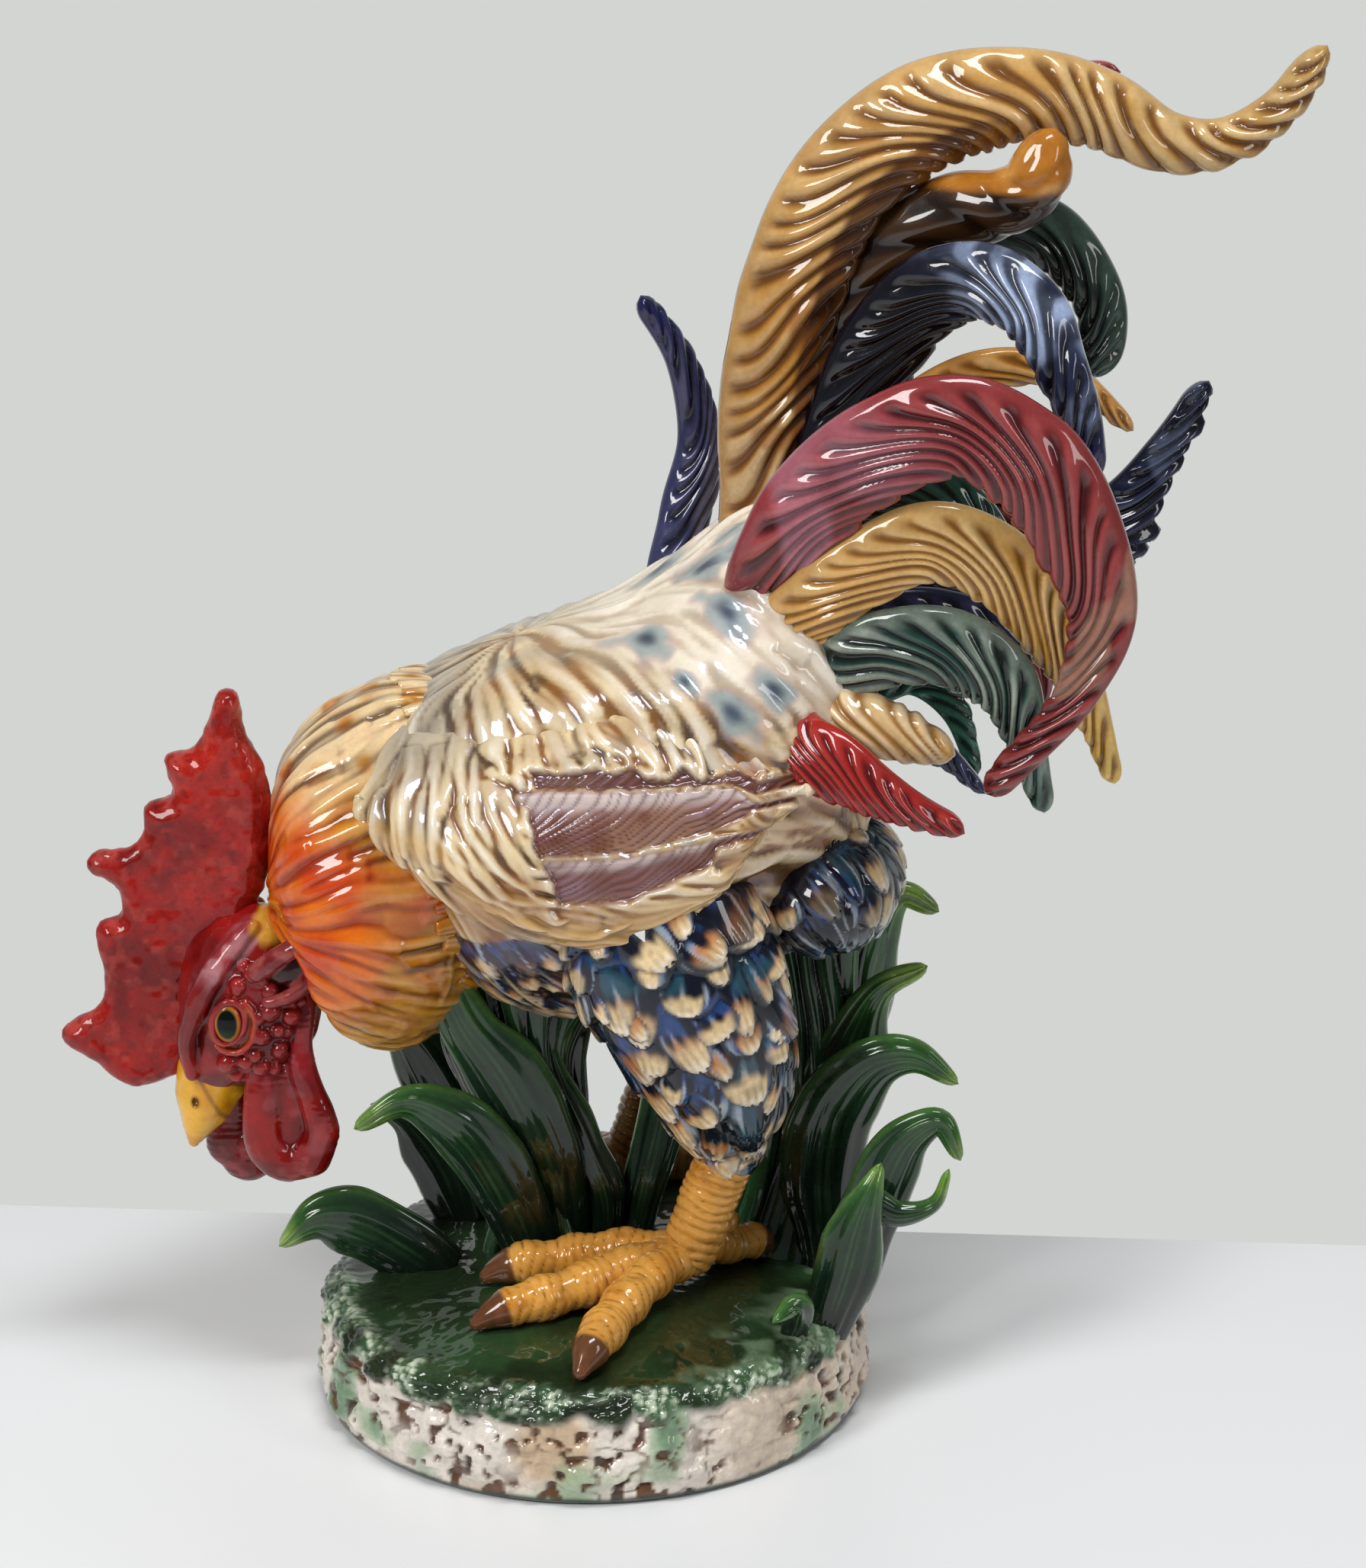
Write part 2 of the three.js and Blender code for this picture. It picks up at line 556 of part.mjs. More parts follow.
// The tail and covert feathers: name, glaze, width, path on the bird, and what differs.
// Each path starts deep in the torso, and the feather is cut back to the torso's skin.
const TAIL_CORE = [74, 0, 165];
const FAR = { facing: [0, 1, 0] };
const FEATHERS = [
  ['sickle_maroon_side', MAROON, 42, [[76, -45, 208], [91, -60, 242], [117, -72, 268], [148, -80, 280],
    [175, -82, 267], [195, -80, 238], [207, -78, 202], [198, -78, 171], [182, -76, 148], [165, -72, 128]]],
  ['sickle_great', OCHRE, 44, [[77, 10, 221], [77, 6, 267], [85, 0, 316], [104, -5, 361], [137, -5, 389],
    [172, -5, 397], [206, 0, 392], [235, 0, 378], [257, 0, 378], [279, 0, 391], [295, 0, 414]],
  { thickness: 11, tip: 0.35, root: 0.95 }],
  ['covert_gold_side', OCHRE, 34, [[87, -50, 193], [112, -58, 215], [140, -62, 228], [165, -62, 219],
    [185, -58, 196], [203, -52, 163], [218, -42, 122]]],
  ['covert_green_side', TEAL, 34, [[101, -45, 169], [122, -58, 182], [147, -64, 184], [169, -64, 170],
    [180, -60, 142], [188, -54, 114]]],
  ['covert_red_low', MAROON, 30, [[84, -62, 145], [104, -76, 136], [125, -84, 126], [151, -84, 114]]],
  ['covert_ochre_stub', OCHRE, 32, [[100, -44, 150], [122, -56, 147], [145, -56, 139]],
    { tip: 0.6, thickness: 16 }],
  ['sickle_navy', NAVY, 34, [[100, 0, 236], [117, -8, 287], [135, -20, 316], [155, -35, 328], [176, -50, 322],
    [188, -60, 302], [197, -62, 278], [201, -60, 255]]],
  ['sickle_knob', OCHRE, 38, [[98, 22, 246], [111, 17, 300], [129, 9, 334], [150, 0, 350], [168, -8, 355],
    [180, -13, 363], [186, -15, 380]], { tip: 0.65, thickness: 18 }],
  ['sickle_maroon_upper', MAROON, 34, [[82, 34, 227], [93, 34, 289], [113, 30, 351], [140, 26, 395],
    [178, 26, 400], [215, 26, 403]]],
  ['covert_ochre_upper', OCHRE, 24, [[92, -22, 226], [124, -22, 262], [160, -18, 287], [194, -14, 287],
    [222, -14, 265]]],
  ['sickle_green_upper', TEAL, 40, [[103, 44, 250], [128, 46, 296], [157, 46, 328], [190, 46, 332],
    [212, 42, 310], [216, 40, 290], [212, 38, 276]], { tip: 0.5 }],
  ['covert_green_inner', TEAL, 30, [[104, -8, 222], [130, -10, 236], [158, -12, 230], [180, -12, 206]]],
  ['covert_navy_inner', NAVY, 26, [[104, -14, 180], [142, -10, 182], [171, -6, 176], [192, -4, 162]]],
  ['covert_navy_low', NAVY, 22, [[104, 6, 140], [126, 8, 128], [150, 10, 115], [167, 8, 100]]],
  ['spike_navy_right', NAVY, 40, [[108, 34, 166], [151, 36, 174], [196, 42, 185], [230, 48, 211],
    [247, 54, 237], [263, 60, 264]]],
  ['spike_navy_left', NAVY, 24, [[40, 40, 150], [36, 60, 176], [42, 76, 201], [48, 83, 235], [40, 85, 269],
    [23, 85, 296]], { tip: 0.45, facing: [0.3, -1, 0] }],
  ['sickle_maroon_far', MAROON, 32, [[85, 40, 172], [110, 60, 205], [140, 73, 222], [170, 75, 212],
    [190, 70, 180], [198, 62, 140], [190, 56, 108]], FAR],
  ['covert_gold_far', OCHRE, 28, [[90, 44, 150], [114, 54, 172], [140, 58, 184], [163, 56, 174],
    [178, 50, 148], [186, 44, 118]], FAR],
  ['covert_green_far', TEAL, 26, [[96, 44, 118], [118, 52, 134], [140, 56, 138], [158, 54, 122],
    [168, 48, 96]], FAR],
];

function tail() {
  for (const [name, material, width, path, options = {}] of FEATHERS) {
    const points = [TAIL_CORE, ...path].map((p) => bird(...p));
    fit(rooster, name, blade(points, width, options), material);
  }
}

// Clumps of grass that carry the breast and the rump, from inside the mound into the belly:
// name, stations as [x, y, share of the stance], half widths along the bird, half width across
const COLUMNS = [
  ['grass_clump_front', [[-16, 20, 0], [-26, 20, 0.45], [-36, 22, 0.9], [-36, 25, 1.4]],
    [21, 19, 30, 36], 20],
  ['grass_clump_rear', [[90, 26, 0], [92, 30, 0.5], [97, 33, 1.1], [97, 33, 1.7]], [20, 21, 27, 30], 20],
];

function columns() {
  for (const [name, stations, halfWidths, depth] of COLUMNS) {
    const rings = stations.map(([x, y, share], i) => {
      const z = share * STANCE - (i === 0 ? BASE_HEIGHT / 4 : 0);
      const ring = [];
      for (let j = 0; j < CLUMP_FACETS; j += 1) {
        const turn = (2 * Math.PI * j) / CLUMP_FACETS;
        const flute = 1 + CLUMP_FLUTE_DEPTH * Math.cos(CLUMP_FLUTES * turn);
        ring.push(ground(
          x + halfWidths[i] * flute * Math.cos(turn),
          y + depth * flute * Math.sin(turn),
          z,
        ));
      }
      return ring;
    });
    fit(stand, name, loft(rings), LEAF);
  }
}

// Long leaves: name, width, path above the mound's crown
const LEAVES = [
  ['leaf_broad_right', 34, [[103, -2, -6], [100, -6, 40], [106, -10, 72], [122, -14, 94], [138, -16, 98],
    [155, -18, 88]]],
  ['leaf_breast_left', 34, [[-13, 2, -6], [-20, -2, 40], [-36, -6, 82], [-54, -8, 112], [-64, -8, 138]],
    { tip: 0.5 }],
  ['leaf_hook_left', 30, [[-22, -8, -6], [-40, -16, 42], [-56, -20, 68], [-78, -22, 80], [-98, -24, 70]]],
  ['leaf_low_left', 32, [[-64, -8, -8], [-82, -12, 6], [-100, -14, 18], [-118, -16, 22], [-133, -18, 12]]],
  ['leaf_hole_left', 18, [[4, 4, -6], [5, 6, 22], [-4, 8, 46], [-14, 10, 72], [-20, 12, 100]]],
  ['leaf_hole_right', 20, [[16, 10, -6], [22, 14, 22], [31, 22, 56], [34, 26, 84], [36, 30, 110]]],
  ['leaf_tip_lower', 34, [[92, 18, -6], [101, 12, 51], [112, 10, 88], [124, 8, 119], [142, 6, 130]]],
  ['leaf_tip_upper', 36, [[88, 44, -6], [99, 40, 50], [112, 36, 98], [122, 32, 134], [134, 30, 155],
    [148, 28, 149]]],
  ['leaf_curl_right', 26, [[110, -30, -8], [121, -32, 34], [134, -32, 66], [148, -34, 76], [156, -36, 62]]],
  ['leaf_loop_right', 14, [[98, -36, -12], [108, -42, 24], [117, -44, 42], [131, -44, 38], [146, -44, 43],
    [151, -44, 56]]],
  ['leaf_dark_left', 34, [[-56, 40, -6], [-66, 48, 20], [-82, 54, 38], [-98, 56, 44]]],
  ['leaf_tall_left', 32, [[-44, 56, -6], [-66, 60, 44], [-86, 62, 80], [-104, 62, 98]]],
  ['leaf_rim_right', 26, [[99, -54, -16], [108, -56, 16], [115, -54, 44], [122, -50, 62]]],
  ['leaf_bud_front', 12, [[84, -66, -14], [88, -72, 4], [86, -78, 12], [79, -84, 9]]],
  ['leaf_back_left', 24, [[-20, 74, -12], [-30, 86, 34], [-44, 96, 66], [-58, 100, 86]]],
  ['leaf_back_right', 24, [[54, 68, -14], [66, 82, 30], [84, 92, 64], [104, 98, 86]]],
];

function leaves() {
  for (const [name, width, path, options = {}] of LEAVES) {
    const points = path.map((p) => ground(...p));
    const leaf = { thickness: LEAF_THICKNESS, camber: LEAF_CAMBER, root: LEAF_ROOT, tip: LEAF_TIP };
    fit(stand, name, blade(points, width, { ...leaf, ...options }), LEAF);
  }
}

mound();
torso();
neck();
head();
wings();
leg(-1, 'left', 0);
leg(1, 'right', FAR_LEG_FORWARD);
rump();
tail();
columns();
leaves();

// The origin is the middle of the object's box, on the surface that it stands on
const bounds = new THREE.Box3().setFromObject(object, true);
const centre = bounds.getCenter(new THREE.Vector3());
object.position.set(-centre.x, -centre.y, -bounds.min.z);

export default object;
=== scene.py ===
"""The looks of a glazed ceramic rooster on a grassy mound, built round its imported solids.

Shapes are worked out in millimetres in the drawing frame that the part's tables use, in which the mound's axis is
at (0, MOUND_Y), and are moved into the part's own frame as they are made.
"""
import math

import bpy
import numpy as np
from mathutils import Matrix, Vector


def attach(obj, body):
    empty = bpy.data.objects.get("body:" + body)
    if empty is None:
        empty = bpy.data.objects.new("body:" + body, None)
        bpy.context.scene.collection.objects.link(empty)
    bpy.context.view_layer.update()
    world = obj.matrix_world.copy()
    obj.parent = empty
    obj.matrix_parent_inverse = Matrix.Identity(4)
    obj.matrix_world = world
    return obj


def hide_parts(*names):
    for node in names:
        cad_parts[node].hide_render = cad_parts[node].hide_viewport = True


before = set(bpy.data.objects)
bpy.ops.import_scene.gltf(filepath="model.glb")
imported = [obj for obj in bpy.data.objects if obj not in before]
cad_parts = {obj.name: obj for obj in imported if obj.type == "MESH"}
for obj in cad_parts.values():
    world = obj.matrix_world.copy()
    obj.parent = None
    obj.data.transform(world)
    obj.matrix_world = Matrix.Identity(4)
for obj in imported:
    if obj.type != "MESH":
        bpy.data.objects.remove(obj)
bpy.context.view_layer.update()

MOUND_Y = -11.0
BODY_Y = 25.0
GROUND = 54.0
BODY_Z = 156.0
SHIFT = np.array([-37.02, 2.5, 0.0])
MM = 1000
MOUND_RADIUS = 118.0
MOUND_CROWN = 8.0
BIRD_AT = np.array([0, BODY_Y, BODY_Z])
SIDES = ("left", "right")


# Colours

def rgb(text):
    """A hex colour as linear light."""
    c = np.array([int(text[i:i + 2], 16) for i in (1, 3, 5)]) / 255.0
    return np.where(c <= 0.04045, c / 12.92, ((c + 0.055) / 1.055) ** 2.4)


def mix(a, b, share):
    """Colour a with a share of colour b in it."""
    share = np.clip(np.asarray(share, float), 0, 1)[..., None]
    return a * (1 - share) + b * share


def tint(colour, text, share):
    """A colour with a share of a hex colour in it."""
    return mix(colour, rgb(text), share)


def between(text_a, text_b, share):
    """A hex colour with a share of a second one in it."""
    return mix(rgb(text_a), rgb(text_b), share)


def ramp(t, stops):
    """A colour that changes along t: stops are (place, hex)."""
    places = [p for p, _ in stops]
    colours = np.array([rgb(c) for _, c in stops])
    t = np.asarray(t, float)
    return np.stack([np.interp(t, places, colours[:, k]) for k in range(3)], -1)


def smooth(x, a, b):
    """Rises from 0 at a to 1 at b, without a kink."""
    x = np.clip((np.asarray(x, float) - a) / (b - a), 0, 1)
    return x * x * (3 - 2 * x)


# Noise that is the same on every run

def _hash(i, j, k, seed):
    """A share from 0 to 1 for each whole place."""
    n = (i * 73856093) ^ (j * 19349663) ^ (k * 83492791) ^ (seed * 2654435761)
    n = n & 0xffffffff
    n = ((n ^ (n >> 13)) * 1274126177) & 0xffffffff
    n = ((n ^ (n >> 16)) * 2246822519) & 0xffffffff
    return ((n ^ (n >> 15)) & 0xffffff) / float(0x1000000)


def noise(points, size, seed=0, octaves=1):
    """Smooth noise from -1 to 1 with features of about the given size."""
    points = np.asarray(points, float)
    total, amount, reach = 0.0, 1.0, 0.0
    for octave in range(octaves):
        q = points * (2 ** octave) / size + 37.3
        cell = np.floor(q).astype(np.int64)
        f = q - cell
        f = f * f * (3 - 2 * f)
        value = 0.0
        for dx in (0, 1):
            for dy in (0, 1):
                for dz in (0, 1):
                    weight = ((f[..., 0] if dx else 1 - f[..., 0]) * (f[..., 1] if dy else 1 - f[..., 1])
                              * (f[..., 2] if dz else 1 - f[..., 2]))
                    corner = _hash(cell[..., 0] + dx, cell[..., 1] + dy, cell[..., 2] + dz, seed + octave)
                    value = value + weight * corner
        total = total + amount * (2 * value - 1)
        reach += amount
        amount *= 0.5
    return total / reach


def clouds(points, size, seed, low, high):
    """Soft patches from 0 to 1: noise that is cut off at low and high."""
    return smooth(noise(points, size, seed), low, high)


def cells(points, size, seed):
    """Distance to the nearest and the second nearest scattered point, in cell sizes, and the nearest one's number."""
    points = np.asarray(points, float) / size + 51.7
    base = np.floor(points).astype(np.int64)
    first = np.full(points.shape[:-1], 9.0)
    second = first.copy()
    mark = np.zeros(points.shape[:-1])
    for dx in (-1, 0, 1):
        for dy in (-1, 0, 1):
            for dz in (-1, 0, 1):
                c = base + np.array([dx, dy, dz])
                seat = c + np.stack([_hash(c[..., 0], c[..., 1], c[..., 2], seed + k) for k in range(3)], -1)
                away = np.linalg.norm(points - seat, axis=-1)
                own = _hash(c[..., 0], c[..., 1], c[..., 2], seed + 7)
                nearer = away < first
                second = np.where(nearer, first, np.minimum(second, away))
                mark = np.where(nearer, own, mark)
                first = np.where(nearer, away, first)
    return first, second, mark


# Meshes

def grid_faces(rows, columns):
    """The quads of a grid whose columns wrap round."""
    i = np.arange(rows - 1)[:, None]
    j = np.arange(columns)[None]
    a = i * columns + j
    b = i * columns + (j + 1) % columns
    return np.stack([a, b, b + columns, a + columns], -1).reshape(-1, 4)


def close_ends(points, colour, groove):
    """Adds a hub at each end of a wrapped grid and returns everything flat, with the end triangles."""
    rows, columns = points.shape[:2]
    flat = points.reshape(-1, 3)
    hubs = np.stack([points[0].mean(0), points[-1].mean(0)])
    n = len(flat)
    j = np.arange(columns)
    nxt = (j + 1) % columns
    last = (rows - 1) * columns
    tris = np.concatenate([
        np.stack([np.full(columns, n), nxt, j], -1),
        np.stack([np.full(columns, n + 1), last + j, last + nxt], -1),
    ])
    colour = colour.reshape(-1, 3)
    groove = groove.reshape(-1)
    colour = np.concatenate([colour, [colour[:columns].mean(0), colour[last:].mean(0)]])
    groove = np.concatenate([groove, [groove[:columns].mean(), groove[last:].mean()]])
    return np.concatenate([flat, hubs]), grid_faces(rows, columns), tris, colour, groove


def volume(points, quads, tris):
    """Six times the signed volume of a mesh, to tell whether it is inside out."""
    total = 0.0
    for corners in ((0, 1, 2), (0, 2, 3)):
        if len(quads):
            a, b, c = (points[quads[:, k]] for k in corners)
            total += np.einsum("ij,ij->", a, np.cross(b, c))
    if len(tris):
        a, b, c = (points[tris[:, k]] for k in range(3))
        total += np.einsum("ij,ij->", a, np.cross(b, c))
    return total


def emit(name, parts, material, nodes):
    """Makes one piece from parts, each (points, quads, tris, colour, groove)."""
    points, colours, grooves, loops, starts = [], [], [], [], []
    count = corner = 0
    for pts, quads, tris, colour, groove in parts:
        quads, tris = np.asarray(quads).reshape(-1, 4), np.asarray(tris).reshape(-1, 3)
        if volume(pts, quads, tris) < 0:
            quads, tris = quads[:, ::-1], tris[:, ::-1]
        for faces in (quads, tris):
            if len(faces):
                loops.append((faces + count).ravel())
                starts.append(corner + np.arange(len(faces)) * faces.shape[1])
                corner += faces.size
        points.append(pts)
        colours.append(colour)
        grooves.append(groove)
        count += len(pts)
    points = (np.concatenate(points) + SHIFT) / MM
    colours = np.clip(np.concatenate(colours), 0, 1)
    loops, starts = np.concatenate(loops), np.concatenate(starts)
    mesh = bpy.data.meshes.new(name)
    mesh.vertices.add(len(points))
    mesh.vertices.foreach_set("co", points.astype(np.float32).ravel())
    mesh.loops.add(len(loops))
    mesh.loops.foreach_set("vertex_index", loops.astype(np.int32))
    mesh.polygons.add(len(starts))
    mesh.polygons.foreach_set("loop_start", starts.astype(np.int32))
    mesh.polygons.foreach_set("use_smooth", np.ones(len(starts), bool))
    mesh.update(calc_edges=True)
    paint = mesh.color_attributes.new("paint", "FLOAT_COLOR", "POINT")
    rgba = np.concatenate([colours, np.ones((len(colours), 1))], 1)
    paint.data.foreach_set("color", rgba.astype(np.float32).ravel())
    # The groove attribute tells the glaze where to paint shade into the grooves.
    hollow = mesh.attributes.new("groove", "FLOAT", "POINT")
    hollow.data.foreach_set("value", np.clip(np.concatenate(grooves), 0, 1).astype(np.float32))
    mesh.validate()
    mesh.materials.append(material)
    piece = bpy.data.objects.new(name, mesh)
    bpy.context.scene.collection.objects.link(piece)
    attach(piece, "root")
    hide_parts(*nodes)


def grid_normals(points):
    """Outward normals of a grid whose columns wrap round."""
    along = np.gradient(points, axis=0)
    around = np.roll(points, -1, 1) - np.roll(points, 1, 1)
    normal = np.cross(along, around)
    normal /= np.maximum(np.linalg.norm(normal, axis=-1, keepdims=True), 1e-9)
    middle = points.mean(axis=1, keepdims=True)
    if np.sum(normal * (points - middle)) < 0:
        normal = -normal
    return normal


# Glazes

def glaze(name, rough=0.3, coat=1.0, bump=0.12, mottle=0.12, lustre=0.0, speck=0.0, speck_colour="#201010",
          groove_dark=0.25):
    """A glossy glaze over the painted colour: mottling, a faint wavy skin and painted shade in the grooves."""
    material = bpy.data.materials.new(name)
    material.use_nodes = True
    tree = material.node_tree
    new, link = tree.nodes.new, tree.links.new
    shader = tree.nodes["Principled BSDF"]
    paint = new("ShaderNodeAttribute")
    paint.attribute_name = "paint"
    groove = new("ShaderNodeAttribute")
    groove.attribute_name = "groove"
    place = new("ShaderNodeTexCoord")

    def cloud(scale, detail=3.0):
        node = new("ShaderNodeTexNoise")
        node.inputs["Scale"].default_value = scale
        node.inputs["Detail"].default_value = detail
        node.inputs["Roughness"].default_value = 0.55
        link(place.outputs["Object"], node.inputs["Vector"])
        return node

    def spread(source, low, high, out_low, out_high):
        node = new("ShaderNodeMapRange")
        for key, value in (("From Min", low), ("From Max", high), ("To Min", out_low), ("To Max", out_high)):
            node.inputs[key].default_value = value
        link(source, node.inputs["Value"])
        return node.outputs["Result"]

    def mixed(kind, share, a, b):
        node = new("ShaderNodeMix")
        node.data_type = "RGBA"
        node.blend_type = kind
        for socket, value in ((node.inputs["Factor"], share), (node.inputs[6], a), (node.inputs[7], b)):
            if isinstance(value, (int, float, tuple)):
                socket.default_value = value
            else:
                link(value, socket)
        return node.outputs[2]

    patches = cloud(70.0)
    fine = cloud(420.0, 2.0)
    colour = paint.outputs["Color"]
    for source, amount in ((patches, mottle), (fine, mottle * 0.6)):
        shade = spread(source.outputs["Fac"], 0.3, 0.7, 1 - amount, 1 + amount)
        tone = new("ShaderNodeCombineColor")
        for socket in ("Red", "Green", "Blue"):
            link(shade, tone.inputs[socket])
        colour = mixed("MULTIPLY", 1.0, colour, tone.outputs["Color"])
    # Painted shade: the colour is multiplied towards dark brown where the groove attribute is high.
    groove_shade = spread(groove.outputs["Fac"], 0.0, 1.0, 0.0, groove_dark)
    colour = mixed("MULTIPLY", groove_shade, colour, (0.25, 0.17, 0.12, 1.0))
    if speck:
        dots = cloud(260.0, 1.0)
        mask = spread(dots.outputs["Fac"], 0.62, 0.7, 0.0, speck)
        colour = mixed("MIX", mask, colour, tuple(rgb(speck_colour)) + (1.0,))
    link(colour, shader.inputs["Base Color"])

    skin = cloud(900.0, 2.0)
    wave = cloud(110.0, 2.0)
    height = new("ShaderNodeMath")
    height.operation = "MULTIPLY_ADD"
    height.inputs[1].default_value = 3.0
    link(wave.outputs["Fac"], height.inputs[0])
    link(skin.outputs["Fac"], height.inputs[2])
    relief = new("ShaderNodeBump")
    relief.inputs["Strength"].default_value = bump
    relief.inputs["Distance"].default_value = 0.0006
    link(height.outputs["Value"], relief.inputs["Height"])
    link(relief.outputs["Normal"], shader.inputs["Normal"])

    link(spread(patches.outputs["Fac"], 0.3, 0.7, rough * 0.8, rough * 1.25), shader.inputs["Roughness"])
    shader.inputs["Coat Weight"].default_value = coat
    shader.inputs["Coat Roughness"].default_value = 0.04
    shader.inputs["Coat IOR"].default_value = 1.5
    shader.inputs["IOR"].default_value = 1.45
    shader.inputs["Specular IOR Level"].default_value = 0.1
    if lustre:
        shader.inputs["Specular IOR Level"].default_value = 0.3
        shader.inputs["Thin Film Thickness"].default_value = lustre
        shader.inputs["Thin Film IOR"].default_value = 1.42
    return material


CREAM_GLAZE = glaze("glaze_cream", rough=0.3, lustre=420.0, mottle=0.06)
ORANGE_GLAZE = glaze("glaze_orange", rough=0.32, mottle=0.08)
RED_GLAZE = glaze("glaze_red", rough=0.32, coat=0.6, mottle=0.2, speck=0.35, speck_colour="#4a0c10", bump=0.6)
FACE_GLAZE = glaze("glaze_face", rough=0.28, coat=0.75, mottle=0.15, bump=0.3)
TAIL_GLAZE = glaze("glaze_tail", rough=0.3, mottle=0.12)
DARK_GLAZE = glaze("glaze_dark", rough=0.24, mottle=0.2)
SCALE_GLAZE = glaze("glaze_scales", rough=0.26, mottle=0.15)
LEG_GLAZE = glaze("glaze_leg", rough=0.3, mottle=0.12)
LEAF_GLAZE = glaze("glaze_leaf", rough=0.26, mottle=0.2, bump=0.2)
MOUND_GLAZE = glaze("glaze_mound", rough=0.34, mottle=0.14, bump=0.35, groove_dark=0.5)
BEAK_GLAZE = glaze("glaze_beak", rough=0.3, mottle=0.08)
EYE_GLAZE = glaze("glaze_eye", rough=0.12, coat=0.25, mottle=0.02, bump=0.02)


# Paths and blades

def bird(points):
    """Points given round the bird's own origin."""
    return np.asarray(points, float) + BIRD_AT


def ground(points):
    """Points given from the mound's top."""
    return np.asarray(points, float) + np.array([0, 0, GROUND])


def run_along(points):
    """How far along a chain each of its points lies."""
    return np.concatenate([[0], np.cumsum(np.linalg.norm(np.diff(points, axis=0), axis=1))])


def relax(values, times):
    """Evens out a row of values in place, except its ends."""
    for _ in range(times):
        values[1:-1] = (values[:-2] + 2 * values[1:-1] + values[2:]) / 4


def turns(around):
    """The angles of evenly spaced columns, as one row."""
    return 2 * np.pi * np.arange(around)[None] / around


def path(points, steps):
    """Points, tangents and length of a centripetal curve through the points, at even steps."""
    p = np.asarray(points, float)
    p = np.concatenate([[2 * p[0] - p[1]], p, [2 * p[-1] - p[-2]]])
    dense = []
    for i in range(1, len(p) - 2):
        q = p[i - 1:i + 3]
        d = [max(np.sum((q[k + 1] - q[k]) ** 2) ** 0.25, 1e-6) for k in range(3)]
        t0 = (q[1] - q[0]) / d[0] - (q[2] - q[0]) / (d[0] + d[1]) + (q[2] - q[1]) / d[1]
        t1 = (q[2] - q[1]) / d[1] - (q[3] - q[1]) / (d[1] + d[2]) + (q[3] - q[2]) / d[2]
        t0, t1 = t0 * d[1], t1 * d[1]
        u = np.linspace(0, 1, 60, endpoint=False)[:, None]
        dense.append(q[1] + t0 * u + (3 * (q[2] - q[1]) - 2 * t0 - t1) * u ** 2
                     + (2 * (q[1] - q[2]) + t0 + t1) * u ** 3)
    dense = np.concatenate(dense + [p[-2:-1]])
    run = run_along(dense)
    at = np.linspace(0, run[-1], steps)
    out = np.stack([np.interp(at, run, dense[:, k]) for k in range(dense.shape[1])], -1)
    relax(out, 2)
    along = np.gradient(out, axis=0)
    along /= np.linalg.norm(along, axis=1, keepdims=True)
    return out, along, run[-1]


def feather_width(t, root, tip):
    """The share of the full width along a blade."""
    rise = root + (1 - root) * np.sin(np.minimum(t / 0.45, 1) * np.pi / 2)
    return rise * (1 - (1 - tip) * smooth(t, 0.55, 1))


EVEN_SHARE = 0.8  # how far the columns are spread evenly across a blade


class Blade:
    """The skin of a feather or leaf: a grid of rows along it and columns round it."""

    def __init__(self, points, width, thick=9.0, camber=0.16, facing=(0, -1, 0), root=0.75, tip=0.3,
                 step=1.25, around=104, cap=None):
        length = path(points, 50)[2]
        rows = max(24, int(length / step))
        centre, along, length = path(points, rows)
        t = np.linspace(0, 1, rows)
        front = np.asarray(facing, float)
        across = np.cross(along, front)
        across /= np.maximum(np.linalg.norm(across, axis=1, keepdims=True), 1e-6)
        out = np.cross(across, along)
        half = width / 2 * feather_width(t, root, tip)
        cap = cap if cap is not None else max(thick * 0.7, width * tip * 0.5)
        left = (1 - t) * length
        x = np.clip(1 - left / cap, 0, 1)
        close = np.sqrt(np.maximum(1 - x ** 2, 0.0004))
        centre = centre + along * (x ** 2 * thick * 0.35)[:, None]
        turn = turns(around)[0]
        even = np.where(turn <= np.pi, 1 - 2 * turn / np.pi, 2 * turn / np.pi - 3)
        side = EVEN_SHARE * even + (1 - EVEN_SHARE) * np.cos(turn)
        rise = np.sign(np.sin(turn)) * np.sqrt(np.maximum(1 - np.abs(side) ** 2.2, 0))
        self.t, self.length, self.half, self.close = t[:, None], length, (half * close)[:, None], close[:, None]
        self.arc = self.t * length
        self.side = np.broadcast_to(side[None], (rows, around))
        self.face = np.broadcast_to(rise[None], (rows, around))
        self.across, self.out, self.along, self.centre = across[:, None], out[:, None], along[:, None], centre[:, None]
        self.thick, self.camber = thick, camber
        self.wide = np.ones((rows, around))
        self.shape = (rows, around)

    def place(self):
        side = self.side * self.wide
        rise = self.face * (self.thick / 2) * self.close - self.camber * self.half * side ** 2
        self.points = (self.centre + self.across * (side * self.half)[..., None] + self.out * rise[..., None])
        self.normals = grid_normals(self.points)

    def push(self, height):
        self.points = self.points + self.normals * height[..., None]


def wavy(phase, seed):
    """Uneven spacing for a row of grooves."""
    q = np.stack([phase, phase * 0 + seed * 3.1, phase * 0], -1)
    return phase + 0.35 * noise(q, 1.7, seed) + 0.5 * noise(q, 5.0, seed + 3)


def ridge(phase, power):
    """A rounded ridge for each whole step of phase."""
    return np.sin(np.pi * (phase - np.floor(phase))) ** power


def number(phase, seed):
    """A random share for each whole step of phase."""
    n = np.floor(phase).astype(np.int64)
    return _hash(n, n * 0 + seed, n * 0, seed)


FINE_GRAIN = 0.22  # height of the threads within a barb, as a share of the barb's
GROOVE_SHARE = 0.85  # how strongly grooves are painted in their darker colour: painted shade between the barbs, and dark streaks along them
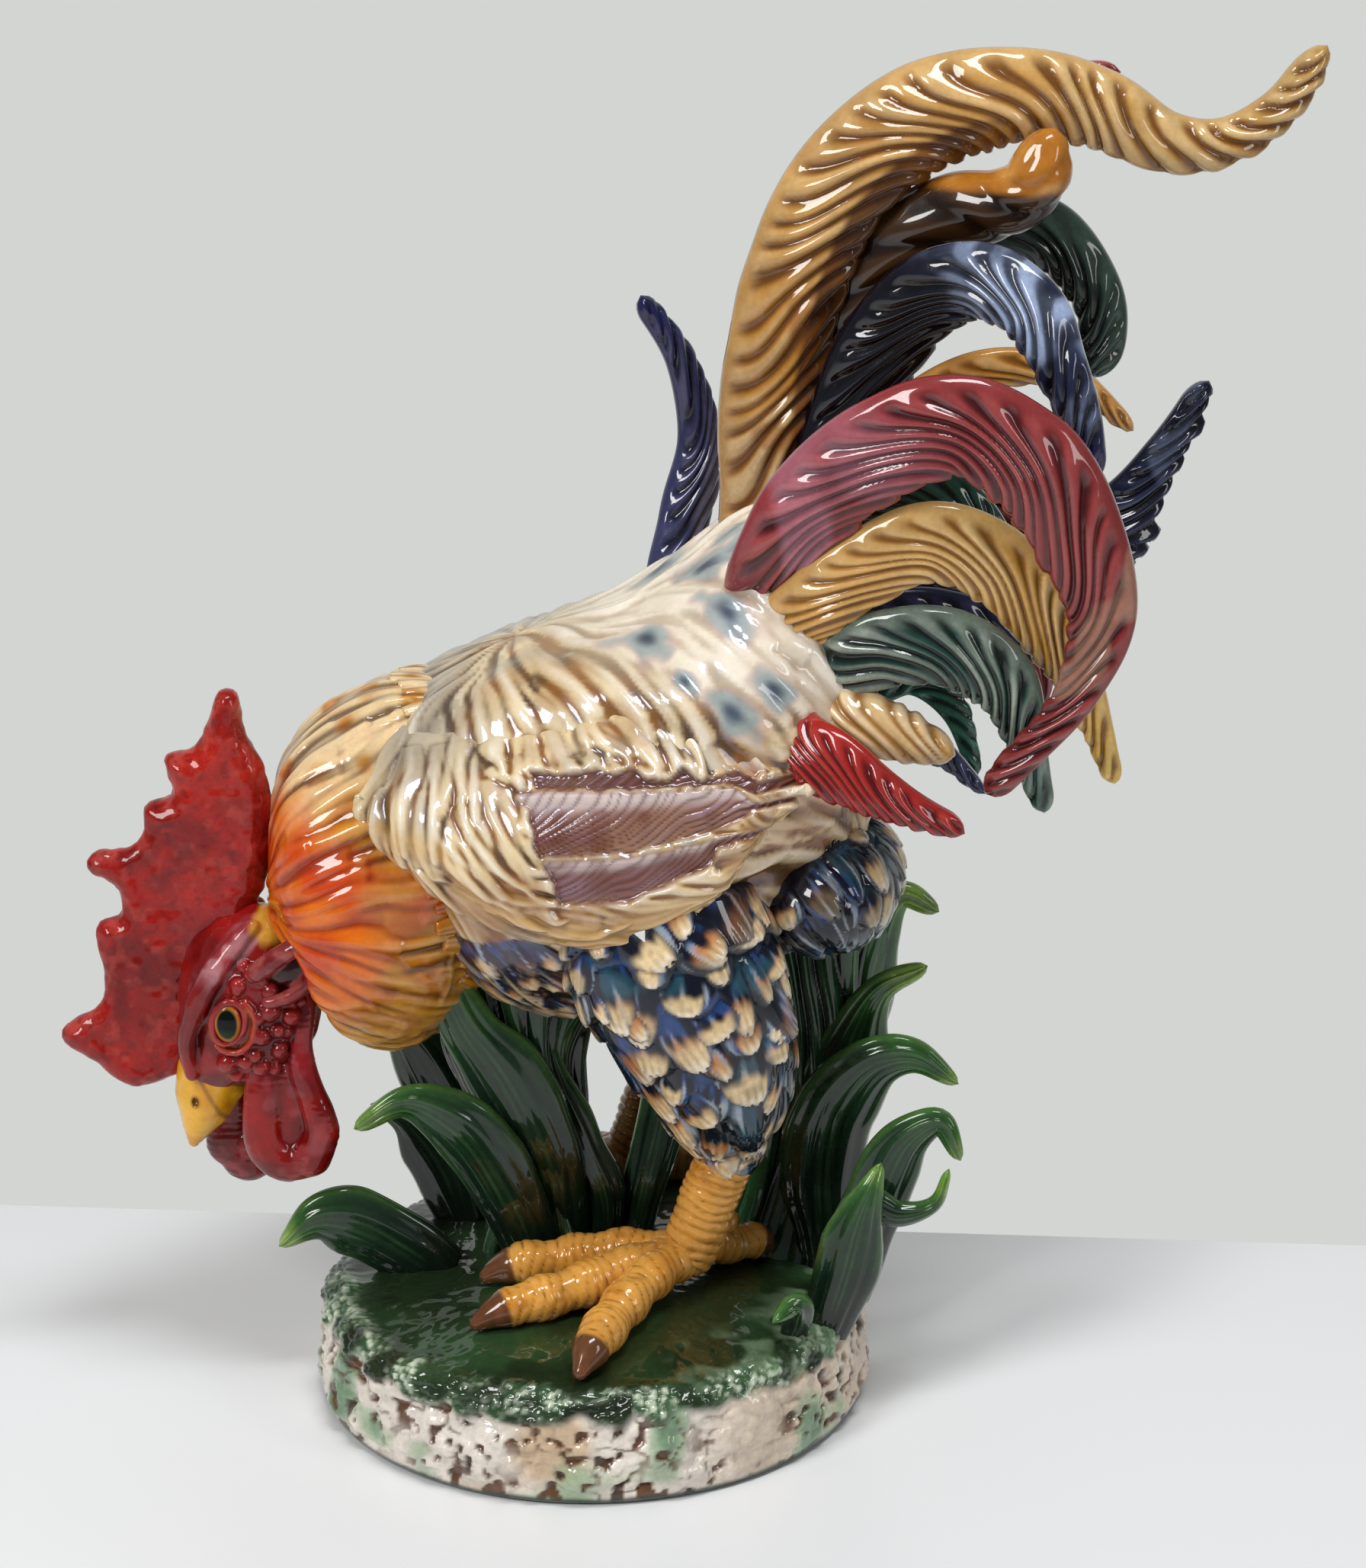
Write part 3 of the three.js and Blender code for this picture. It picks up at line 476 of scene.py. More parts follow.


def feather(name, points, width, colours, thick=9.0, camber=0.16, facing=(0, -1, 0), root=0.75, tip=0.3,
            pitch=11.0, slope=2.2, depth=1.7, groove="#3a1c10", light=None, back=None, rachis=-0.84,
            material=TAIL_GLAZE, seed=1, cap=None, extra=None, light_share=0.45, ragged=0.06):
    """A ceramic feather: a thick band whose barbs run slantwise from a rib near its outer edge.

    extra(blade, colour, q, bar) may repaint it: q is 0 at the rib and 1 at the inner edge, bar is a barb's height.
    """
    chain = [TAIL_CORE] + list(points)
    b = Blade(bird(chain), width, thick, camber, facing, root, tip, cap=cap)
    q = (b.side - rachis) / (1 - rachis)
    inner = np.clip(q, 0, 1)
    reach = slope * b.half * 2 * (0.4 * inner + 0.6 * inner ** 1.6 - 0.05 * np.sin(2 * np.pi * inner))
    drift = np.stack([b.arc + 0 * b.side, b.side * 22, 0 * b.side + seed * 9.1], -1)
    phase = wavy((b.arc - reach) / pitch + 0.55 * noise(drift, 34.0, seed + 11), seed)
    on = smooth(b.close, 0.35, 0.9)
    bar = (0.5 - 0.5 * np.cos(2 * np.pi * (phase - np.floor(phase)) ** 0.8)) ** 0.65
    mask = smooth(q, -0.02, 0.12) * (1 - 0.75 * smooth(b.side, 0.86, 1.0)) * on
    lines = np.stack([phase, q * 0.9 + seed, phase * 0 + b.face * 0.4], -1)
    grain = 0.5 + 0.5 * noise(lines, 0.42, seed + 21)
    b.wide = 1 + ragged * 2 * (number(phase, seed) * smooth(bar, 0, 0.6) - 0.5) * inner ** 3 * on
    b.place()
    tall = 0.7 + 0.6 * number(phase, seed + 5)
    height = depth * mask * (bar * tall - 0.75 + 2.0 * FINE_GRAIN * (grain - 0.5))
    height = height + 0.6 * np.exp(-((q + 0.02) / 0.09) ** 2) * on
    height = height + 0.7 * noise(b.points, 22.0, seed + 9)
    b.push(height)
    colour = np.broadcast_to(ramp(b.t, colours), b.shape + (3,)).copy()
    colour = mix(colour, rgb(groove), 0.3 * clouds(lines, 1.7, seed + 30, 0.1, 0.6) * GROOVE_SHARE)
    # Painted highlights: the light colour is laid on the barb tops and along the rib.
    if light:
        share = smooth(bar * tall * (0.5 + grain), 0.5, 1.05) * light_share * mask
        colour = mix(colour, rgb(light), share * (0.65 + 0.5 * noise(b.points, 30.0, seed + 2)))
        colour = mix(colour, rgb(light), 0.35 * light_share * (1 - smooth(np.abs(q), 0.05, 0.2)))
    # Painted shade: the groove colour fills the hollows between the barbs.
    deep = (1 - smooth(bar + 0.5 * (grain - 0.5), 0.2, 0.8)) * mask * GROOVE_SHARE
    colour = mix(colour, rgb(groove), deep)
    if back:
        colour = mix(colour, rgb(back), smooth(-b.face + 0.3 * (b.side > 0.2), 0.1, 0.6) * 0.95)
    if extra:
        colour = extra(b, colour, q, bar)
    colour = colour * (1 + 0.08 * noise(b.points, 14.0, seed + 4)[..., None])
    emit(name + "_looks", [close_ends(b.points, colour, deep)], material, (name,))


TAIL_CORE = (74, 0, 165)


def tail():
    """The sickles, coverts and spikes of the tail."""
    far = (0, 1, 0)

    def great(b, colour, q, bar):
        inside = smooth(b.side, 0.26, 0.42) * (1 - smooth(b.t, 0.6, 0.7))
        colour = mix(colour, between("#4a2609", "#6f4014", clouds(b.points, 14.0, 92, -0.2, 0.5)), inside * 0.93)
        blotch = clouds(b.points, 13.0, 91, 0.25, 0.6) * smooth(b.t, 0.1, 0.2) * (1 - smooth(b.t, 0.4, 0.55))
        return tint(colour, "#8a4f12", blotch * 0.55)

    feather("sickle_great", [(77, 10, 221), (77, 6, 267), (85, 0, 316), (104, -5, 361), (137, -5, 389),
                             (172, -5, 397), (206, 0, 392), (235, 0, 378), (257, 0, 378), (279, 0, 391),
                             (295, 0, 414)], 44,
            [(0, "#a46c1e"), (0.3, "#b07a2c"), (0.55, "#c08f48"), (0.8, "#c09452"), (0.93, "#a87c38"), (1, "#b58f50")],
            thick=13, camber=0.3, root=0.95, tip=0.35, pitch=12.5, slope=1.2, depth=2.5, groove="#6a3908",
            light="#eed7a8", back="#5a3010", rachis=-0.92, seed=3, extra=great, cap=14)

    def pearly_sheen(b, colour, q, bar):
        # Painted sheen: pale pinkish pearly patches over the lower half of the feather.
        shine = clouds(b.points, 24.0, 17, 0.1, 0.5) * 0.4
        return tint(colour, "#b57f92", shine * (1 - smooth(b.t, 0.3, 0.5)))

    def worn_and_sheen(b, colour, q, bar):
        # Painted sheen near the root, and tan patches further along.
        colour = pearly_sheen(b, colour, q, bar)
        tan = clouds(b.points, 16.0, 23, 0.2, 0.5) * smooth(b.t, 0.62, 0.7) * (1 - smooth(b.t, 0.86, 0.93))
        return tint(colour, "#a5806a", tan * 0.6)

    feather("sickle_maroon_side", [(76, -45, 208), (91, -60, 242), (117, -72, 268), (148, -80, 280),
                                   (175, -82, 267), (195, -80, 238), (207, -78, 202), (198, -78, 171),
                                   (182, -76, 148), (165, -72, 128)], 42,
            [(0, "#862a38"), (0.35, "#84282c"), (0.6, "#7a2224"), (0.8, "#74201f"), (1, "#6c1a18")],
            pitch=14, slope=2.1, depth=2.2, groove="#3c0b10", light="#bb5f5c", rachis=-0.8, seed=5, extra=worn_and_sheen)
    feather("covert_gold_side", [(87, -50, 193), (112, -58, 215), (140, -62, 228), (165, -62, 219),
                                 (185, -58, 196), (203, -52, 163), (218, -42, 122)], 34,
            [(0, "#c48a38"), (0.5, "#cf9f52"), (0.8, "#ca963a"), (0.93, "#d9a92e"), (1, "#e2b53a")],
            pitch=12, slope=2.1, depth=1.8, groove="#86520f", light="#f2dcae", rachis=-0.8, seed=7)

    def pearly_back(b, colour, q, bar):
        # Painted sheen: the underside and inner edge are a pale pearly blue-grey with gold patches.
        under = smooth(-b.face + 0.5 * b.side, 0.25, 0.6)
        sheen = between("#c9c4cc", "#8fa0c4", clouds(b.points, 12.0, 31, 0.0, 0.5))
        sheen = tint(sheen, "#b99a5e", clouds(b.points, 16.0, 37, 0.35, 0.6))
        return mix(colour, sheen, under * 0.9)

    feather("covert_green_side", [(101, -45, 169), (122, -58, 182), (147, -64, 184), (169, -64, 170),
                                  (180, -60, 142), (188, -54, 114)], 34,
            [(0, "#17342e"), (0.5, "#1b3d35"), (0.85, "#1f4a3f"), (1, "#235646")],
            pitch=13, slope=1.9, depth=1.9, groove="#040c0c", light="#d5ddcc", light_share=0.5, seed=9,
            material=DARK_GLAZE, extra=pearly_back)

    def rosy_root(b, colour, q, bar):
        # Painted sheen: pale pink on the barb ridges towards the root.
        return tint(colour, "#b98fa4", (1 - smooth(b.t, 0.3, 0.5)) * 0.5 * smooth(bar, 0.2, 0.8))

    feather("covert_red_low", [(84, -62, 145), (104, -76, 136), (125, -84, 126), (151, -84, 114)], 30,
            [(0, "#93222c"), (0.5, "#9a1612"), (1, "#90100e")],
            pitch=11, slope=2.2, depth=1.5, groove="#4d080c", light="#b84a42", seed=11, extra=rosy_root, tip=0.34)
    feather("covert_ochre_stub", [(100, -44, 150), (122, -56, 147), (145, -56, 139)], 32,
            [(0, "#d8b47c"), (0.6, "#e2c494"), (1, "#c99a52")],
            thick=18, tip=0.6, pitch=12, slope=2, depth=1.4, groove="#a06c26", light="#f8ecd0", rachis=-1.2,
            seed=13, cap=14)

    def droop_highlights(b, colour, q, bar):
        # Painted highlights: pale blue-grey streaks on the barbs of the drooping front; the tip turns deep blue.
        colour = tint(colour, "#93a2c0", smooth(b.t, 0.58, 0.7) * (0.15 + 0.8 * smooth(bar, 0.5, 0.95)) * (
            1 - smooth(b.t, 0.86, 0.95)) * clouds(b.points, 12.0, 95, -0.6, 0.1))
        return tint(colour, "#241c5e", smooth(b.t, 0.93, 0.99) * 0.7)

    feather("sickle_navy", [(100, 0, 236), (117, -8, 287), (135, -20, 316), (155, -35, 328), (176, -50, 322),
                            (188, -60, 302), (197, -62, 278), (201, -60, 255)], 36,
            [(0, "#060509"), (0.55, "#0a0a14"), (0.75, "#1c2138"), (1, "#1f2644")],
            pitch=14, slope=1.9, depth=1.8, groove="#040409", light="#2e3448", light_share=0.12, seed=15,
            material=DARK_GLAZE, extra=droop_highlights, camber=0.25, tip=0.45)

    def knob(b, colour, q, bar):
        lit = smooth(b.points[..., 2] - BODY_Z + 1.5 * noise(b.points, 9.0, 93), 360, 364)
        return mix(colour, between("#a8691f", "#c98f48", clouds(b.points, 10.0, 94, -0.2, 0.5)), lit)

    feather("sickle_knob", [(98, 22, 246), (111, 17, 300), (129, 9, 334), (150, 0, 350), (168, -8, 355),
                            (180, -13, 363), (186, -15, 380)], 40,
            [(0, "#5d3c1c"), (0.55, "#4a2c12"), (0.72, "#2e1909"), (1, "#3a2210")],
            thick=22, tip=0.65, pitch=18, slope=1.2, depth=0.8, groove="#1c0f06", light="#7d5a34", light_share=0.2,
            seed=17, extra=knob, cap=13)
    feather("sickle_maroon_upper", [(82, 34, 227), (93, 34, 289), (113, 30, 351), (140, 26, 395), (178, 26, 400),
                                    (215, 26, 403)], 34,
            [(0, "#70262e"), (0.5, "#80282e"), (1, "#8e1a20")],
            pitch=13, slope=1.9, depth=1.6, groove="#480f18", light="#cf9890", seed=19, extra=pearly_sheen)
    feather("covert_ochre_upper", [(92, -22, 226), (124, -22, 262), (160, -18, 287), (194, -14, 287),
                                   (222, -14, 265)], 24,
            [(0, "#9a6018"), (0.6, "#b0721f"), (1, "#bd7f26")],
            pitch=11, slope=1.8, depth=1.4, groove="#704410", light="#e0c08a", seed=21)

    def folded(b, colour, q, bar):
        return tint(colour, "#5d7569", smooth(b.t, 0.5, 0.65) * smooth(-b.side, -0.2, 0.5) * 0.25)

    feather("sickle_green_upper", [(103, 44, 250), (128, 46, 296), (157, 46, 328), (190, 46, 332), (212, 42, 310),
                                   (216, 40, 290), (212, 38, 276)], 40,
            [(0, "#0b1a17"), (0.6, "#102722"), (1, "#0c1f1b")],
            tip=0.5, camber=0.34, pitch=14, slope=1.8, depth=1.7, groove="#040a08", light="#5c7a6e",
            light_share=0.12, seed=23, material=DARK_GLAZE, extra=folded)
    feather("covert_green_inner", [(104, -8, 222), (130, -10, 236), (158, -12, 230), (180, -12, 206)], 30,
            [(0, "#0f211c"), (1, "#1b3a30")], pitch=12, slope=1.8, depth=1.5, groove="#050b0a", light="#4f7468",
            light_share=0.22, seed=25, material=DARK_GLAZE)
    feather("covert_navy_inner", [(104, -14, 180), (142, -10, 182), (171, -6, 176), (192, -4, 162)], 26,
            [(0, "#0c0c1c"), (1, "#16183a")], pitch=12, slope=1.8, depth=1.4, groove="#05050c", light="#59648c",
            light_share=0.22, seed=27, material=DARK_GLAZE)
    feather("covert_navy_low", [(104, 6, 140), (126, 8, 128), (150, 10, 115), (167, 8, 100)], 22,
            [(0, "#0e1024"), (1, "#1c2348")], pitch=11, slope=1.8, depth=1.3, groove="#05060f", light="#7a86a8",
            light_share=0.25, seed=29, material=DARK_GLAZE)

    def spike_highlights(b, colour, q, bar):
        # Painted highlights: pale blue-grey patches on the outer part of the spike, by its rib.
        patch = smooth(noise(b.points * np.array([1.6, 1, 0.8]), 20.0, 43), 0.0, 0.25) * smooth(b.t, 0.4, 0.6)
        return tint(colour, "#7d8cab", patch * smooth(-q, -0.8, -0.4) * 0.35)

    feather("spike_navy_right", [(108, 34, 166), (151, 36, 174), (196, 42, 185), (230, 48, 211), (247, 54, 237),
                                 (263, 60, 264)], 42,
            [(0, "#0a0a1c"), (0.8, "#10112c"), (1, "#0c0d22")],
            pitch=14, slope=2, depth=2.4, groove="#03030a", light="#5a6892", light_share=0.18, seed=31,
            material=DARK_GLAZE, extra=spike_highlights, cap=9, ragged=0.24)

    def dusky(b, colour, q, bar):
        # Painted sheen: one side of the spike is pale mauve up to near the tip, which turns deep blue.
        colour = tint(colour, "#8a7f86", smooth(b.side, -0.1, 0.4) * (1 - smooth(b.t, 0.6, 0.85)) * 0.35)
        return tint(colour, "#1a1c46", smooth(b.t, 0.85, 0.97) * 0.8)

    feather("spike_navy_left", [(40, 40, 150), (36, 60, 176), (42, 76, 201), (48, 83, 235), (40, 85, 269),
                                (23, 85, 296)], 24,
            [(0, "#1c1d38"), (0.5, "#2e2f52"), (1, "#23264e")], tip=0.45, facing=(0.3, -1, 0),
            pitch=14, slope=2.4, depth=1.6, groove="#0b0b1a", light="#6c6f94", light_share=0.25, seed=33,
            material=DARK_GLAZE, extra=dusky, camber=0.4)
    feather("sickle_maroon_far", [(85, 40, 172), (110, 60, 205), (140, 73, 222), (170, 75, 212), (190, 70, 180),
                                  (198, 62, 140), (190, 56, 108)], 32,
            [(0, "#8c3550"), (0.4, "#90404a"), (1, "#7a2a30")], facing=far,
            pitch=13, slope=1.9, depth=1.8, groove="#43101a", light="#bd7f88", seed=35,
            extra=pearly_sheen)
    feather("covert_gold_far", [(90, 44, 150), (114, 54, 172), (140, 58, 184), (163, 56, 174), (178, 50, 148),
                                (186, 44, 118)], 28,
            [(0, "#ad7628"), (0.6, "#b68236"), (1, "#d9a92e")], facing=far, pitch=12, slope=1.9, depth=1.6,
            groove="#70430e", light="#ecd09a", seed=37)
    feather("covert_green_far", [(96, 44, 118), (118, 52, 134), (140, 56, 138), (158, 54, 122), (168, 48, 96)], 26,
            [(0, "#12302c"), (1, "#235c4c")], facing=far, pitch=12, slope=1.8, depth=1.5, groove="#050f10",
            light="#5f8f80", light_share=0.22, seed=39, material=DARK_GLAZE)


# Leaves

def leaf(name, points, width, thick=8.0, camber=0.22, root=0.7, tip=0.2, seed=1, veins=5,
         tip_colour="#7fa045", dark=0.0):
    """A long ceramic leaf with lengthwise veins and a paler tip."""
    b = Blade(ground(points), width, thick, camber, (0, -1, 0), root, tip, step=1.5, around=48, cap=9)
    q = np.stack([b.arc + 0 * b.side, b.side * 9, b.side * 0 + seed * 7.7], -1)
    b.wide = 1 + 0.10 * noise(q, 21.0, seed) * (np.abs(b.side) > 0.5)
    b.place()
    edge = np.abs(b.side)
    lean = b.side + 0.12 * noise(q, 34.0, seed + 1)
    stripe = np.cos(lean * np.pi * veins)
    on = smooth(b.close, 0.2, 0.8)
    rib = np.exp(-(lean / 0.09) ** 2)
    height = on * (0.5 * stripe * (1 - edge ** 3) - 1.3 * rib + 0.9 * smooth(edge, 0.75, 0.95))
    b.push(height + 0.8 * noise(b.points, 18.0, seed + 2))
    colour = ramp(b.t + 0.09 * noise(b.points, 14.0, seed), [
        (0, "#0d1a10"), (0.35, "#13281a"), (0.7, "#1c3a20"), (0.88, "#34602a"), (1.0, tip_colour)])
    # Painted shade: the dark share darkens whole leaves, those in the hole between the legs and one at the back.
    colour = tint(colour, "#0a160e", dark)
    colour = tint(colour, "#5d8a44", (0.5 * smooth(edge, 0.8, 1.0) * smooth(b.t, 0.25, 0.6)) * on)
    colour = tint(colour, "#4d7a4a", 0.35 * np.exp(-((np.abs(lean) - 0.12) / 0.06) ** 2) * smooth(b.t, 0.1, 0.3))
    # Painted shade: darker along the vein grooves and the midrib.
    deep = smooth(-stripe, 0.1, 0.9) * (1 - edge ** 2) + rib
    colour = tint(colour, "#0b1a10", 0.5 * np.clip(deep, 0, 1))
    colour = colour * (1 + 0.14 * noise(b.points, 10.0, seed + 4)[..., None])
    skin = close_ends(b.points, colour, np.clip(deep, 0, 1) * 0.6)
    emit(name + "_looks", [skin], LEAF_GLAZE, (name,))


def leaves():
    """The sixteen long leaves."""
    leaf("leaf_broad_right", [(103, -2, -6), (100, -6, 40), (106, -10, 72), (122, -14, 94), (138, -16, 98),
                              (155, -18, 88)], 34, seed=1, veins=4)
    leaf("leaf_breast_left", [(-13, 2, -6), (-20, -2, 40), (-36, -6, 82), (-54, -8, 112), (-64, -8, 138)], 34,
         tip=0.5, seed=2)
    leaf("leaf_hook_left", [(-22, -8, -6), (-40, -16, 42), (-56, -20, 68), (-78, -22, 80), (-98, -24, 70)], 30,
         seed=3, tip_colour="#86a850")
    leaf("leaf_low_left", [(-64, -8, -8), (-82, -12, 6), (-100, -14, 18), (-118, -16, 22), (-133, -18, 12)], 32,
         seed=4, tip_colour="#8fae5a")
    leaf("leaf_hole_left", [(4, 4, -6), (5, 6, 22), (-4, 8, 46), (-14, 10, 72), (-20, 12, 100)], 18, seed=5, dark=0.4)
    leaf("leaf_hole_right", [(16, 10, -6), (22, 14, 22), (31, 22, 56), (34, 26, 84), (36, 30, 110)], 20, seed=6,
         dark=0.3)
    leaf("leaf_tip_lower", [(92, 18, -6), (101, 12, 51), (112, 10, 88), (124, 8, 119), (142, 6, 130)], 34, seed=7)
    leaf("leaf_tip_upper", [(88, 44, -6), (99, 40, 50), (112, 36, 98), (122, 32, 134), (134, 30, 155),
                            (148, 28, 149)], 36, seed=8)
    leaf("leaf_curl_right", [(110, -30, -8), (121, -32, 34), (134, -32, 66), (148, -34, 76), (156, -36, 62)], 26,
         seed=9)
    leaf("leaf_loop_right", [(98, -36, -12), (108, -42, 24), (117, -44, 42), (131, -44, 38), (146, -44, 43),
                             (151, -44, 56)], 14, seed=10, veins=3, tip_colour="#6f9a3c")
    leaf("leaf_dark_left", [(-56, 40, -6), (-66, 48, 20), (-82, 54, 38), (-98, 56, 44)], 34, seed=11, dark=0.3)
    leaf("leaf_tall_left", [(-44, 56, -6), (-66, 60, 44), (-86, 62, 80), (-104, 62, 98)], 32, seed=12)
    leaf("leaf_rim_right", [(99, -54, -16), (108, -56, 16), (115, -54, 44), (122, -50, 62)], 26, seed=13)
    leaf("leaf_bud_front", [(84, -66, -14), (88, -72, 4), (86, -78, 12), (79, -84, 9)], 12, seed=14, veins=2,
         tip_colour="#6c9a5a")
    leaf("leaf_back_left", [(-20, 74, -12), (-30, 86, 34), (-44, 96, 66), (-58, 100, 86)], 24, seed=15)
    leaf("leaf_back_right", [(54, 68, -14), (66, 82, 30), (84, 92, 64), (104, 98, 86)], 24, seed=16)


CLUMPS = [
    ("grass_clump_front", [(-16, 20, 0), (-26, 20, 0.45), (-36, 22, 0.9), (-36, 25, 1.4)], [21, 19, 30, 36], 20),
    ("grass_clump_rear", [(90, 26, 0), (92, 30, 0.5), (97, 33, 1.1), (97, 33, 1.7)], [20, 21, 27, 30], 20),
]


def clumps():
    """The two fluted clumps of grass that carry the bird."""
    for name, stations, halves, depth in CLUMPS:
        rows, around = 150, 300
        share = np.linspace(0, 1, rows)
        at = np.linspace(0, 1, len(stations))
        x = np.interp(share, at, [s[0] for s in stations])
        y = np.interp(share, at, [s[1] for s in stations])
        z = GROUND + np.interp(share, at, [s[2] * 102 - (13.5 if i == 0 else 0) for i, s in enumerate(stations)])
        half = np.interp(share, at, halves)
        for values in (x, y, z, half):
            relax(values, 12)
        turn = turns(around)
        drift = turn + 0.25 * np.sin(share[:, None] * 5 + turn * 2) + 0.5 * share[:, None]
        flute = 1 + 0.12 * np.cos(5 * turn)
        foot = 1 + 0.55 * np.exp(-(share[:, None] / 0.13) ** 2)
        points = np.stack([x[:, None] + half[:, None] * flute * foot * np.cos(turn),
                           y[:, None] + depth * flute * foot * np.sin(turn),
                           z[:, None] + 0 * turn], -1)
        normals = grid_normals(points)
        blades = np.abs(np.cos(drift * 7 + 0.7 * noise(points, 40.0, 61))) ** 0.7
        thin = np.abs(np.cos(drift * 19 + 2 * noise(points, 30.0, 62)))
        points = points + normals * (3.2 * blades + 0.7 * thin - 2.0 + 1.2 * noise(points, 20.0, 63))[..., None]
        # Painted shade: dark in the grooves between the blades, paler green on their crests.
        colour = between("#08120b", "#1a3a20", smooth(blades, 0.2, 0.9))
        colour = tint(colour, "#3f7038", 0.4 * clouds(points, 26.0, 64, 0.1, 0.5) * smooth(blades, 0.5, 1))
        deep = 1 - smooth(blades, 0.1, 0.6)
        emit(name + "_looks", [close_ends(points, colour, deep * 0.7)], LEAF_GLAZE, (name,))


# The mound

CRAGS = 48  # facets round the mound's wall, as in the solid


def spun(r, z, turn):
    """A profile turned round the mound's axis."""
    return np.stack([r[:, None] * np.cos(turn), MOUND_Y + r[:, None] * np.sin(turn), z[:, None] + 0 * turn], -1)


def crag_fall(points):
    """How far the solid's crags lie in at each place of the wall, from 0 to 1."""
    height = points[..., 2]
    facet = np.degrees(np.arctan2(points[..., 0], -(points[..., 1] - MOUND_Y))) / 360 * CRAGS
    crags = np.array([0, 0.7, 0.2, 1, 0.35, 0.9, 0.1, 0.6, 0.85, 0.25, 0.5])
    knots = np.array([0.0, 3.0, 18.4, 34.5, 43.7, 47.5])
    fall = 0
    for k in (0, 1):
        step_in = np.floor(facet).astype(int) + k
        rows_in = np.stack([np.zeros_like(facet), np.zeros_like(facet)]
                           + [crags[(step_in % CRAGS + 4 * r) % 11] for r in range(3)] + [np.zeros_like(facet)])
        spot = np.clip(np.searchsorted(knots, height, side="right") - 1, 0, 4)
        share = np.clip((height - knots[spot]) / (knots[spot + 1] - knots[spot]), 0, 1)
        here = np.take_along_axis(rows_in, spot[None], 0)[0] * (1 - share) + np.take_along_axis(
            rows_in, spot[None] + 1, 0)[0] * share
        away = np.abs(facet - np.floor(facet) - k)
        fall = fall + here * (1 - away)
    return fall


